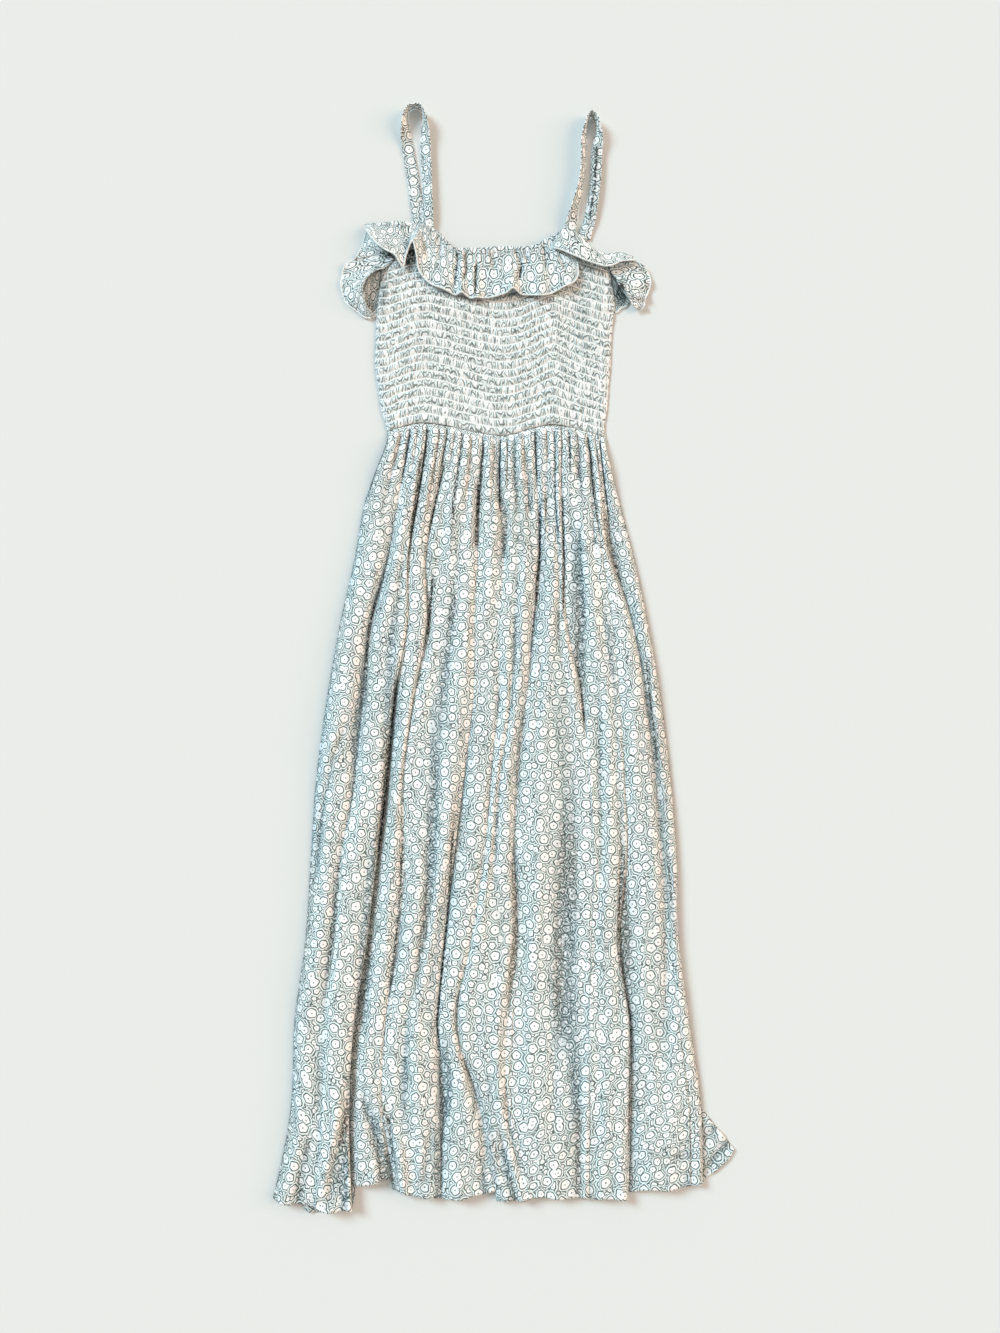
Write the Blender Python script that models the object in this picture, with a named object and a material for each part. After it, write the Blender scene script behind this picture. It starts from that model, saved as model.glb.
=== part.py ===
"""Strappy maxi dress laid flat on its back.

+X is the dress's right-hand side as it is seen, +Y runs from the hem to the straps and +Z is up.
The origin is in the middle of the resting face. Tables are in millimetres.
"""

import bmesh
import bpy
import numpy as np

MM = 0.001

# Driving sizes, in millimetres
CLOTH = 1.2                 # wall of one layer of cloth
SEAM_GAP = 0.3              # clearance where two pieces meet
STEEPEST_WALL = 2.6         # most that a steep fold may thicken the wall, as seen from above
WAIST_Y = 243.0             # middle height of the waist seam
PANEL_LENGTH = 837.0        # waist seam to the plain level of the hem
SIDE_INSET = 6.0            # how far the back panels stay inside the folded side edges
BACK_ROWS = 14              # rows of the back skirt above its lower right corner
STRAP_WIDTH = 13.5
STRAP_THICK = 1.4

FLAT_ANGLE = np.radians(0.02)               # faces that meet flatter than this are joined
SHARP_ANGLE = np.radians(50)                # edges that turn more than this are shown sharp

# Layers from the floor up. The back ruffle lies under the top of the bodice.
FRONT_UNDER = CLOTH + SEAM_GAP              # underside of a front panel over its back panel
RUFFLE_STEP = CLOTH + SEAM_GAP              # rise of the bodice over the back ruffle
STEP_START_Y = 378.0
STEP_END_Y = 391.0
STEP_LEAD = 5.0                             # the front climbs this far before the back does
EDGE_STEP_START_Y = 362.0                   # the front's side edge climbs before the ruffle's side lobes
EDGE_STEP_END_Y = 372.0
OPEN_SIDE_START_Y = -446.0                  # below here the front's right edge lies on the back's corner
OPEN_SIDE_END_Y = -488.0

# How the front skirt's ridges form below the waist, as distances down where a change starts and ends
SEAM_HOLD = (0.0, 34.0)     # the waist seam holds the ridges down
HELD_SHARE = 0.15           # share of a ridge's height that is left at the seam
LIP_DOWN = (60.0, 160.0)    # the peak moves from the middle of a panel to its lip
CROWD_DOWN = (80.0, 200.0)  # the columns crowd towards the lip
CROWDING = 0.5
WAVE_DOWN = (0.0, 160.0)    # the rows follow the waist seam's wave
HEM_DOWN = (687.0, 837.0)   # the rows follow the hem

# Gathers at the waist
GATHER_RISE = 3.2
GATHER_START = (-2.0, 14.0)     # distances down over which a gather rises
GATHER_HELD = 0.25              # share of its length before it starts to fade
GATHER_ROUNDNESS = 0.7          # below 1 the puffs are fuller and the hollows narrower
GATHER_LENGTHS = (88.0, 130.0, 66.0, 112.0, 150.0)      # fade out at uneven lengths, repeated in turn
COLUMNS_PER_GATHER = 3

# Distances below the waist at which the skirt's tables give a value
DOWN = (11, 80, 150, 219, 309, 400, 489, 577, 665, 751, 837)

# One row a fold line of the front skirt: its place across at each distance in DOWN
LINE_PLACES = {
    "left_edge": (-134, -158, -170, -185, -200, -211, -216, -221, -232, -235, -253),
    "left_long": (-108, -120, -133, -151, -160, -167, -181, -185, -196, -200, -208),
    "deep_left": (-89, -99, -111, -112, -125, -133, -143, -153, -166, -171, -166),
    "notch": (-65, -78, -89, -87, -102, -113, -111, -118, -131, -134, -122),
    "centre_left": (-24, -29, -32, -35, -36, -45, -56, -67, -75, -70, -70),
    "slant": (-4, -5, 0, -4, -6, -15, -21, -35, -52, -27, -8),
    "centre": (36, 38, 41, 34, 25, 14, 11, 16, 9, 7, 29),
    "centre_right": (66, 65, 68, 71, 89, 95, 99, 96, 93, 93, 93),
    "step_right": (96, 102, 110, 119, 127, 133, 135, 127, 139, 139, 136),
    "right_long": (111, 118, 126, 146, 163, 174, 180, 186, 193, 203, 205),
    "right_edge": (118, 133, 149, 163, 178, 188, 194, 195, 206, 217, 219),
}

# How far each line cuts down towards the back panel, from 0 (no fold) to 1 (all the way)
LINE_DEPTHS = {
    "left_edge": (1, 1, 1, 1, 1, 1, 1, 1, 1, 1, 1),
    "left_long": (0.5, 0.5, 0.8, 1, 0.9, 0.5, 0.3, 0.1, 0, 0, 0.1),
    "deep_left": (0.6, 0.7, 0.6, 0.3, 0.9, 1, 0.9, 0.9, 1, 1, 0.9),
    "notch": (0.6, 0.7, 0.6, 0.8, 0.3, 0.5, 0.6, 0.7, 0.5, 0.5, 0.9),
    "centre_left": (0.6, 0.6, 0.3, 0.3, 0.6, 0.8, 0.9, 0.7, 0.5, 1, 0.5),
    "slant": (0.6, 0.7, 0.5, 0.2, 0.35, 0.3, 0.2, 0.2, 0.5, 0.8, 0.8),
    "centre": (0.6, 0.6, 0.8, 1, 0.5, 0.7, 0.5, 0.6, 0.5, 0.3, 0.1),
    "centre_right": (0.5, 0.4, 0.5, 0.6, 0.7, 0.3, 0.15, 0.1, 0.15, 0.1, 0.1),
    "step_right": (0.4, 0.4, 0.3, 0.2, 0.25, 0.5, 0.5, 0.6, 0.9, 0.9, 1),
    "right_long": (0.5, 0.7, 0.8, 0.8, 0.8, 0.8, 0.8, 0.7, 0.3, 0.1, 0.1),
    "right_edge": (1, 1, 1, 1, 1, 1, 1, 1, 1, 1, 1),
}

# How far a ridge leans over each line, as sideways travel for each unit of height
LINE_LEANS = {
    "left_long": 0.30, "deep_left": 0.45, "notch": 0.20, "centre_left": 0.30, "slant": 0.10,
    "centre": 0.10, "centre_right": 0.15, "step_right": 0.40, "right_long": -0.20,
}

# One row a panel between two neighbouring lines, left to right.
# gathers: puffs at the waist. crest: height of the ridge. peak: where across the ridge is highest.
# hem_left, hem_right: height of the hem at both ends.
PANEL_COLUMNS = ("gathers", "crest", "peak", "hem_left", "hem_right")
PANELS = (
    (2, 9.0, 0.62, -613, -620),
    (2, 12.5, 0.78, -621, -623),
    (2, 10.0, 0.70, -597, -588),
    (4, 11.0, 0.76, -603, -612),
    (2, 9.0, 0.60, -612, -601),
    (4, 9.5, 0.60, -614, -609),
    (3, 8.0, 0.55, -609, -610),
    (3, 9.5, 0.80, -610, -611),
    (2, 8.5, 0.45, -603, -597),
    (1, 6.0, 0.45, -597, -594),
)

# Share of the crest that stands at each distance in DOWN
CREST_SHARE = (0.5, 0.7, 0.85, 0.95, 1, 1, 1, 0.95, 0.95, 1, 0.9)

# Rows of the front skirt, as distances below the waist seam
SKIRT_ROWS = (0, 4, 10, 19, 32, 50, 75, 108, 150, 200, 255, 310, 365, 420, 475, 530, 585, 640, 689,
              731, 770, 805, 837)

# The waist seam's wave, and the top edge of the front bodice: place across, height
WAIST_SEAM = ((-134, 241), (-119, 246), (-95, 251), (-67, 248), (-39, 242), (5, 237), (30, 244),
              (52, 249), (76, 246), (96, 241), (118, 234))
NECKLINE = ((-141, 436), (-128, 452), (-109, 471), (-93, 477), (-74, 469), (-59, 455), (-27, 453),
            (-1, 455), (25, 455), (42, 461), (56, 469), (73, 474), (89, 469), (103, 455), (122, 434))

# Sides of the bodice: height, left, right
BODICE_SIDES = ((235, -133, 117), (243, -134, 116), (269, -141, 119), (296, -145, 121),
                (317, -148, 123), (338, -148, 124), (369, -147, 126), (395, -145, 128),
                (422, -142, 124), (436, -141, 122), (480, -136, 116))
SHIRRING_ROWS = 22          # rows of elastic, about 10 mm apart
PUFF_COLUMNS = 40
PUFF_RISE = 2.3
PUCKER_DIP = 0.45           # share by which every second column of a puff is lower
PUFF_UNEVEN = 0.25          # share by which the puffs differ
BODICE_CROWN = 1.3          # the panel is this much thicker along its middle
PLAIN_TOP_SHARE = 0.93      # above this share of its height the bodice is plain under the ruffle
PLAIN_FADE = 0.04           # share of its height over which the puffs fade out below that
BACK_COLUMNS = 25
BACK_HEIGHTS = (262.0, 282.0, 310.0, 345.0, STEP_START_Y, STEP_END_Y)      # rows of the back bodice
BACK_SEAM_INSET = 1.0       # the back panels stop this far above and below the waist seam
BACK_NECK_DROP = 4.0        # and ends this far under the front neckline

# Corner of the back skirt that shows past the front at the lower right: height, right edge
BACK_FLARE = ((-505, 210), (-512, 211), (-520, 221), (-532, 230), (-544, 241), (-560, 253))
# Hem of the back skirt: place across, height
BACK_HEM = ((-245, -606), (-222, -612), (-215, -628), (-190, -627), (-166, -624), (-160, -592),
            (-131, -582), (-115, -576), (-104, -600), (-73, -607), (-37, -602), (-5, -606), (18, -605),
            (106, -605), (133, -603), (160, -599), (180, -601), (189, -604), (212, -597), (233, -583),
            (247, -571), (253, -560))

# Rows of the ruffles: one row a section, from one end to the other, at a crest or a hollow of a wave.
# The first edge is sewn, the second is free. x, y and height of each.
SECTION_COLUMNS = ("sewn_x", "sewn_y", "sewn_z", "free_x", "free_y", "free_z")
RUFFLE_FRONT = (
    (-161, 484, 7.9, -160, 479, 7.9),
    (-151, 485, 8.4, -154, 469, 12.4),
    (-141, 485, 8.9, -146, 458, 15.4),
    (-131, 486, 9.4, -136, 450, 16.4),
    (-123, 487, 9.9, -125, 444, 16.4),
    (-115, 486, 10.4, -119, 435, 14.4),
    (-108, 484, 10.4, -115.5, 432, 12.4),
    (-101, 483, 10.9, -111.5, 446, 14.4),
    (-94, 482, 11.4, -104.5, 459, 18.4),
    (-86, 480, 11.4, -100, 444, 15.4),
    (-78, 475, 10.9, -97, 427, 11.4),
    (-71, 470, 10.4, -85, 413, 10.4),
    (-64, 462, 9.9, -69, 405, 13.9),
    (-57, 456, 9.4, -56, 399.5, 9.9),
    (-48, 455, 9.4, -48, 400, 15.9),
    (-40, 455, 9.4, -39, 395.5, 10.4),
    (-33, 455, 9.4, -31, 395, 14.4),
    (-26, 455, 9.4, -21, 396, 9.4),
    (-15, 456, 9.4, -10, 397, 11.4),
    (-2, 457, 9.4, 3, 400, 15.4),
    (8, 457, 9.4, 11, 404, 18.4),
    (16, 457, 9.4, 20, 400, 10.4),
    (26, 457, 9.4, 30, 399, 10.9),
    (38, 459, 9.9, 43, 397, 15.4),
    (49, 466, 9.9, 55, 401, 10.9),
    (57, 470, 9.9, 70, 408, 13.9),
    (63, 468, 9.9, 81, 414, 11.9),
    (68, 462, 9.9, 86, 425, 9.9),
    (74, 457, 9.4, 85, 440, 9.4),
)
RUFFLE_RIGHT_TOP = (
    (56, 458, 12.0, 57, 453, 13.0),
    (60, 468, 11.6, 64, 451, 15.0),
    (66, 475, 11.6, 74, 446, 17.0),
    (76, 476, 11.6, 84, 441, 18.0),
    (87, 470, 11.6, 93, 437, 18.0),
    (97, 460, 11.4, 103, 434, 17.0),
    (106, 452, 11.2, 114, 431, 16.0),
    (115, 448, 11.0, 124, 432, 15.0),
    (124, 448, 11.0, 134, 437, 14.0),
    (134, 449, 11.0, 142, 438.5, 13.0),
    (142, 447.5, 11.0, 147, 439.5, 12.0),
    (149, 444.5, 10.5, 151, 440, 11.0),
)
RUFFLE_LEFT_SIDE = (
    (-146, 470, 4.5, -160, 477, 2.5),
    (-139, 461, 9.0, -164, 461, 3.0),
    (-131, 453, 6.6, -172, 445, 4.0),
    (-129, 449, 5.9, -177, 443, 2.0),
    (-127, 443, 6.2, -184, 436, 4.5),
    (-136, 433, 8.0, -187, 425, 2.0),
    (-146, 427, 13.0, -188, 415, 4.0),
    (-156, 418, 14.0, -185, 399, 2.0),
    (-161, 408, 13.0, -178, 389, 3.5),
    (-160, 396, 11.0, -170, 383, 2.0),
    (-156, 385, 8.0, -161, 376, 2.9),
    (-150, 379, 5.0, -153, 374.5, 2.9),
)
RUFFLE_RIGHT_SIDE = (
    (117, 443, 6.0, 146, 444, 5.0),
    (119, 437, 5.9, 153, 440, 6.0),
    (122.5, 430, 5.9, 161, 436.5, 7.0),
    (128, 421, 8.0, 168, 427, 3.0),
    (132, 412, 10.5, 170, 417, 5.0),
    (138, 404, 11.0, 167.5, 406, 3.0),
    (143, 397, 11.0, 164, 398, 7.0),
    (146, 392, 9.0, 162.5, 393, 3.5),
    (149, 387.5, 8.0, 162, 388, 6.0),
    (153, 383, 5.5, 157.5, 383.5, 3.0),
)
RUFFLE_BACK = (
    (-157, 424, CLOTH, -162, 409, CLOTH),
    (-150, 440, CLOTH, -161, 391, CLOTH),
    (-139, 451, CLOTH, -154, 377, CLOTH),
    (-132, 454, CLOTH, -145, 381, CLOTH),
    (-124, 456, CLOTH, -140.5, 396, CLOTH),
    (-109, 466, CLOTH, -125, 396, CLOTH),
    (-93, 472, CLOTH, -100, 396, CLOTH),
    (-74, 464, CLOTH, -76, 396, CLOTH),
    (-59, 451, CLOTH, -58, 396, CLOTH),
    (25, 450, CLOTH, 25, 396, CLOTH),
    (42, 456, CLOTH, 44, 396, CLOTH),
    (56, 464, CLOTH, 58, 396, CLOTH),
    (73, 469, CLOTH, 76, 396, CLOTH),
    (89, 464, CLOTH, 96, 396, CLOTH),
    (103, 450, CLOTH, 114, 396, CLOTH),
    (117, 438, CLOTH, 126, 396, CLOTH),
    (125, 431, CLOTH, 129.3, 382, CLOTH),
    (137, 409, CLOTH, 136, 387, CLOTH),
    (147, 394, CLOTH, 144, 390, CLOTH),
)

# Straps: one row a section along the band, from the front neckline over the loop to the back.
# x, y, z: middle of the band. roll: turn out of the flat, in degrees. crease: rise of its middle.
STRAP_COLUMNS = ("x", "y", "z", "roll", "crease")
STRAP_LEFT = (
    (-88, 471, 5.3, 0, 0.0),
    (-88, 484, 5.6, 0, 0.0),
    (-88.2, 500, 5.4, 18, 0.3),
    (-88.6, 520, 4.6, 28, 0.5),
    (-89.5, 545, 4.4, 28, 0.4),
    (-90.5, 568, 4.2, 24, 0.3),
    (-91.3, 587, 4.6, 30, 0.0),
    (-91.8, 602, 6.2, 50, 0.0),
    (-93.4, 615, 7.2, 76, 0.0),
    (-97.5, 624.5, 7.4, 92, 0.0),
    (-104.0, 626.0, 7.4, 100, 0.0),
    (-110.5, 623.5, 7.4, 92, 0.0),
    (-114.3, 613, 7.0, 68, 0.0),
    (-114.6, 600, 5.0, 46, 0.0),
    (-113.2, 587, 2.2, 14, 0.0),
    (-111.0, 573, 1.0, 0, 0.2),
    (-107.8, 555, 1.0, 0, 0.2),
    (-104.6, 535, 1.0, 0, 0.3),
    (-101.6, 512, 1.0, 0, 0.3),
    (-99.4, 492, 1.2, 0, 0.1),
    (-98.4, 474.5, 2.1, 0, 0.0),
)
STRAP_RIGHT = (
    (74, 469, 5.3, 0, 0.0),
    (77, 480, 5.6, -2, 0.0),
    (80.5, 495, 6.2, -38, 0.5),
    (84.6, 513, 6.4, -58, 0.5),
    (89.2, 530, 6.6, -62, 0.4),
    (92.0, 548, 6.8, -64, 0.2),
    (92.8, 566, 6.8, -64, 0.0),
    (93.6, 585, 6.6, -60, 0.0),
    (96.0, 600, 7.0, -70, 0.0),
    (99.0, 612, 7.3, -84, 0.0),
    (102.4, 617, 7.4, -90, 0.0),
    (106.4, 613, 7.3, -84, 0.0),
    (110.0, 601, 6.8, -72, 0.0),
    (110.4, 588, 4.6, -40, 0.4),
    (108.8, 572, 3.4, -24, 1.4),
    (108.0, 552, 3.2, -22, 1.7),
    (106.3, 532, 3.2, -24, 1.7),
    (103.4, 511, 3.0, -22, 1.5),
    (99.6, 489, 2.4, -12, 1.0),
    (95.2, 474, 2.1, 0, 0.2),
    (93.9, 468, 2.1, 0, 0.0),
)
STRAP_SECTIONS = 46
STRAP_FLOOR = 0.05          # no edge of a strap goes lower than this

SETTLING_ROUNDS = 4         # places across depend on heights and heights on places, so both are redone

SAGE = (0.46, 0.56, 0.55)
SAGE_DARK = (0.37, 0.46, 0.46)


def smooth_read(marks, values, at):
    """Read a table at any place: a cubic through its marks, sloped as its neighbours are."""
    marks = np.asarray(marks, float)
    values = np.asarray(values, float)
    at = np.clip(np.asarray(at, float), marks[0], marks[-1])
    slopes = np.gradient(values, marks, axis=0)
    index = np.clip(np.searchsorted(marks, at) - 1, 0, len(marks) - 2)
    span = marks[index + 1] - marks[index]
    t = (at - marks[index]) / span
    if values.ndim > 1:
        t = t[:, None]
        span = span[:, None]
    start = values[index] * (2 * t**3 - 3 * t**2 + 1) + slopes[index] * span * (t**3 - 2 * t**2 + t)
    end = values[index + 1] * (3 * t**2 - 2 * t**3) + slopes[index + 1] * span * (t**3 - t**2)
    return start + end


def ramp(value, start, end):
    """0 before start, 1 after end, and a straight climb between."""
    return np.clip((value - start) / (end - start), 0.0, 1.0)


def soft_ramp(value, start, end):
    """As ramp, eased at both ends."""
    t = ramp(value, start, end)
    return t * t * (3 - 2 * t)


def fabric(name, colour):
    """Soft, dull woven cloth."""
    material = bpy.data.materials.new(name)
    material.use_nodes = True
    shader = material.node_tree.nodes["Principled BSDF"]
    shader.inputs["Base Color"].default_value = (*colour, 1.0)
    shader.inputs["Roughness"].default_value = 0.85
    shader.inputs["Metallic"].default_value = 0.0
    return material


def wall(name, outer, inner, material, collection):
    """Closed wall between two matching grids of points, given in millimetres.

    A flat grid is triangulated, so that both faces share their diagonals, then its copy is
    extruded, and the two layers are moved onto the two grids.
    """
    rows, columns = outer.shape[:2]
    bm = bmesh.new()
    bmesh.ops.create_grid(bm, x_segments=columns - 1, y_segments=rows - 1, size=1.0)
    bmesh.ops.triangulate(bm, faces=bm.faces[:], quad_method="FIXED")
    column_of = bm.verts.layers.int.new("column")
    row_of = bm.verts.layers.int.new("row")
    for vert in bm.verts:
        vert[column_of] = round((vert.co.x + 1) / 2 * (columns - 1))
        vert[row_of] = round((vert.co.y + 1) / 2 * (rows - 1))
    lower = bm.verts[:]
    made = bmesh.ops.extrude_face_region(bm, geom=bm.faces[:])
    upper = [item for item in made["geom"] if isinstance(item, bmesh.types.BMVert)]
    for vert in lower:
        vert.co = inner[vert[row_of], vert[column_of]] * MM
    for vert in upper:
        vert.co = outer[vert[row_of], vert[column_of]] * MM
    bmesh.ops.recalc_face_normals(bm, faces=bm.faces[:])
    if bm.calc_volume(signed=True) < 0:
        bmesh.ops.reverse_faces(bm, faces=bm.faces[:])
    bm.normal_update()
    bmesh.ops.dissolve_limit(bm, angle_limit=FLAT_ANGLE, verts=bm.verts[:], edges=bm.edges[:])
    mesh = bpy.data.meshes.new(name)
    bm.to_mesh(mesh)
    bm.free()
    mesh.materials.append(material)
    mesh.shade_smooth()
    mesh.set_sharp_from_angle(angle=SHARP_ANGLE)
    piece = bpy.data.objects.new(name, mesh)
    collection.objects.link(piece)
    return piece


def wall_depth(points, thick=CLOTH):
    """Depth straight down that gives the wall its thickness square to its slope."""
    across = np.gradient(points, axis=1)
    along = np.gradient(points, axis=0)
    normal = np.cross(across, along)
    upright = np.abs(normal[..., 2]) / np.maximum(np.linalg.norm(normal, axis=-1), 1e-9)
    return np.minimum(thick / np.maximum(upright, 0.05), STEEPEST_WALL * thick)


def lowered(points, depth):
    """The same grid of points, moved straight down."""
    inner = points.copy()
    inner[..., 2] -= depth
    return inner


def panel_columns():
    """Panel number, share across it, and place in its gathers, for each column of the skirt."""
    number = []
    share = []
    gather = []
    first_gather = 0
    for index, row in enumerate(PANELS):
        gathers = row[PANEL_COLUMNS.index("gathers")]
        count = gathers * COLUMNS_PER_GATHER
        for step in range(count):
            number.append(index)
            share.append(step / count)
            gather.append(first_gather + step / COLUMNS_PER_GATHER)
        first_gather += gathers
    number.append(len(PANELS) - 1)
    share.append(1.0)
    gather.append(first_gather)
    return np.array(number), np.array(share), np.array(gather, float)


def panel_value(name, number):
    """One named column of the panel table, for each column of the skirt."""
    values = np.array(PANELS, float)[:, PANEL_COLUMNS.index(name)]
    return values[number]


def waist_height(x):
    """Height of the waist seam at a place across."""
    marks, heights = zip(*WAIST_SEAM)
    return smooth_read(marks, heights, x)


def gather_height(down, gather):
    """Puffs between the sewn-down hollows, each fading out at its own length."""
    lengths = np.array(GATHER_LENGTHS)[np.floor(gather).astype(int) % len(GATHER_LENGTHS)]
    puff = np.abs(np.sin(np.pi * gather)) ** GATHER_ROUNDNESS
    fade = 1 - soft_ramp(down, GATHER_HELD * lengths, lengths)
    return GATHER_RISE * soft_ramp(down, *GATHER_START) * fade * puff


def skirt_front(material, collection):
    """Front skirt: ridges between fold lines that run from the waist to the hem, and waist gathers."""
    number, share, gather = panel_columns()
    names = list(LINE_PLACES)
    down = np.array(SKIRT_ROWS, float)
    places = np.stack([smooth_read(DOWN, LINE_PLACES[name], down) for name in names], axis=1)
    cuts = np.stack([smooth_read(DOWN, LINE_DEPTHS[name], down) for name in names], axis=1)
    cuts = np.clip(cuts, 0, 1)
    leans = np.array([LINE_LEANS.get(name, 0.0) for name in names])
    crest = panel_value("crest", number)
    peak = panel_value("peak", number)
    hem = panel_value("hem_left", number) * (1 - share) + panel_value("hem_right", number) * share
    crest_share = smooth_read(DOWN, CREST_SHARE, down)[:, None]

    # the columns crowd towards the lip of each ridge below the gathers
    crowd = 1 + CROWDING * soft_ramp(down, *CROWD_DOWN)[:, None]
    across = 1 - (1 - share[None, :]) ** crowd
    left = places[:, number]
    right = places[:, number + 1]
    x = left + across * (right - left)

    # from the left hollow up to the peak, then down to the right hollow
    high = 0.5 + (peak - 0.5) * soft_ramp(down, *LIP_DOWN)[:, None]
    left_floor = 1 - cuts[:, number]
    right_floor = 1 - cuts[:, number + 1]
    climb = np.clip(across / high, 0, 1)
    fall = np.clip((across - high) / (1 - high), 0, 1)
    rising = left_floor + (1 - left_floor) * (1 - (1 - climb) ** 2)
    falling = right_floor + (1 - right_floor) * (1 - fall**2)
    ridge = np.where(across < high, rising, falling)
    held = HELD_SHARE + (1 - HELD_SHARE) * soft_ramp(down, *SEAM_HOLD)[:, None]
    low = FRONT_UNDER + CLOTH
    z = low + crest * crest_share * ridge * held
    z = z + gather_height(down[:, None], gather[None, :])

    # the waist follows the seam's wave and the last rows follow the hem
    settle = soft_ramp(down, *WAVE_DOWN)[:, None]
    y = waist_height(x) * (1 - settle) + WAIST_Y * settle - down[:, None]
    y = y + soft_ramp(down, *HEM_DOWN)[:, None] * (hem - (WAIST_Y - PANEL_LENGTH))

    # the side edges fold down to the floor, except on the lower right where the back panel shows
    z[:, 0] = CLOTH
    z[:, -1] = CLOTH + FRONT_UNDER * ramp(-y[:, -1], -OPEN_SIDE_START_Y, -OPEN_SIDE_END_Y)
    outer = np.stack([x, y, z], axis=-1)
    under = np.maximum(z - wall_depth(outer), FRONT_UNDER)
    under[:, 0] = 0.0
    under[:, -1] = z[:, -1] - CLOTH
    inner = outer.copy()
    inner[..., 2] = under

    # each ridge leans over the fold line beside it
    lean = leans[number] * (1 - share) + leans[number + 1] * share
    outer[..., 0] += lean * (outer[..., 2] - low)
    inner[..., 0] += lean * (inner[..., 2] - low)
    return wall("skirt_front", outer, inner, material, collection)


def back_side(name, height):
    """Side edge of the back skirt, inside the front's folded edge."""
    down = WAIST_Y - height
    inward = SIDE_INSET if name == "left_edge" else -SIDE_INSET
    return smooth_read(DOWN, LINE_PLACES[name], down) + inward


def skirt_back(material, collection):
    """Back skirt: flat where it rests, and wider than the front at two corners of the hem."""
    marks, heights = zip(*BACK_HEM)
    flare_heights, flare_places = zip(*BACK_FLARE[::-1])
    rows = np.linspace(WAIST_Y, flare_heights[-1], BACK_ROWS, endpoint=False)
    rows = np.concatenate([rows, flare_heights[::-1]])
    left = back_side("left_edge", rows)
    right = back_side("right_edge", rows)
    right = np.where(rows > flare_heights[-1], right, np.interp(rows, flare_heights, flare_places))
    hem_x = np.array(marks, float)
    share = (hem_x - hem_x[0]) / (hem_x[-1] - hem_x[0])
    x = left[:, None] + share * (right - left)[:, None]
    y = np.repeat(rows[:, None], len(hem_x), axis=1)
    y[0] = waist_height(x[0]) - BACK_SEAM_INSET
    body = np.stack([x, y, np.full_like(x, CLOTH)], axis=-1)
    hem = np.stack([hem_x, np.array(heights, float), np.full_like(hem_x, CLOTH)], axis=-1)
    outer = np.concatenate([body[:-1], hem[None]], axis=0)
    return wall("skirt_back", outer, lowered(outer, CLOTH), material, collection)


def bodice_sides(height):
    """Left and right edge of the bodice at a height."""
    marks, left, right = zip(*BODICE_SIDES)
    return smooth_read(marks, left, height), smooth_read(marks, right, height)


def ruffle_step(height):
    """Rise of the bodice where the back ruffle lies under it."""
    return RUFFLE_STEP * ramp(height, STEP_START_Y, STEP_END_Y)


def puffs(row, column):
    """Share of PUFF_RISE: low on each row of elastic, with uneven puckers across between the rows."""
    between = np.sin(np.pi * row) ** 2
    pucker = 1 - PUCKER_DIP / 2 * (1 - np.cos(np.pi * column))
    uneven = 1 - PUFF_UNEVEN * (0.5 + 0.5 * np.sin(2.3 * column + 1.7 * np.floor(row)))
    return between * pucker * uneven


def bodice_front(material, collection):
    """Front bodice: puckers between rows of elastic, raised over a plain inside."""
    row = np.arange(2 * SHIRRING_ROWS + 1) / 2.0
    column = np.arange(PUFF_COLUMNS + 1, dtype=float)
    share = np.clip((column - 0.5) / (PUFF_COLUMNS - 1), 0, 1)
    up = (row / SHIRRING_ROWS)[:, None]
    neck_x, neck_y = zip(*NECKLINE)
    x = np.zeros((len(row), len(column)))
    y = np.zeros_like(x)
    for _ in range(SETTLING_ROUNDS):
        bottom = waist_height(x) + SEAM_GAP
        top = smooth_read(neck_x, neck_y, x)
        y = bottom + up * (top - bottom)
        left, right = bodice_sides(y)
        x = left + share * (right - left)
    under = FRONT_UNDER + ruffle_step(y + STEP_LEAD)
    crown = BODICE_CROWN * (1 - (2 * share - 1) ** 4)
    plain = 1 - soft_ramp(up, PLAIN_TOP_SHARE - PLAIN_FADE, PLAIN_TOP_SHARE)
    rise = puffs(row[:, None], column[None, :])
    z = under + CLOTH + (crown + PUFF_RISE * rise) * plain
    edge = FRONT_UNDER * ramp(y, EDGE_STEP_START_Y, EDGE_STEP_END_Y)
    inner = np.stack([x, y, under], axis=-1)
    outer = np.stack([x, y, z], axis=-1)
    for side in (0, -1):
        inner[:, side, 2] = edge[:, side]
        outer[:, side, 2] = edge[:, side] + CLOTH
    return wall("bodice_front", outer, inner, material, collection)


def bodice_back(material, collection):
    """Back bodice: flat where it rests, one step up over the back ruffle."""
    neck_x, neck_y = zip(*NECKLINE)
    share = np.linspace(0, 1, BACK_COLUMNS)
    x = np.zeros((len(BACK_HEIGHTS) + 3, len(share)))
    y = np.zeros_like(x)
    y[1:-2] = np.array(BACK_HEIGHTS)[:, None]
    for _ in range(SETTLING_ROUNDS):
        y[0] = waist_height(x[0]) + BACK_SEAM_INSET
        y[-1] = smooth_read(neck_x, neck_y, x[-1]) - BACK_NECK_DROP
        y[-2] = (y[-1] + STEP_END_Y) / 2
        left, right = bodice_sides(y)
        x = left + SIDE_INSET + share * (right - left - 2 * SIDE_INSET)
    outer = np.stack([x, y, CLOTH + ruffle_step(y)], axis=-1)
    return wall("bodice_back", outer, lowered(outer, CLOTH), material, collection)


def read_columns(sections, names, prefix):
    """The x, y and height columns of one edge of a section table."""
    table = np.array(sections, float)
    return table[:, [names.index(prefix + axis) for axis in ("_x", "_y", "_z")]]


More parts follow.
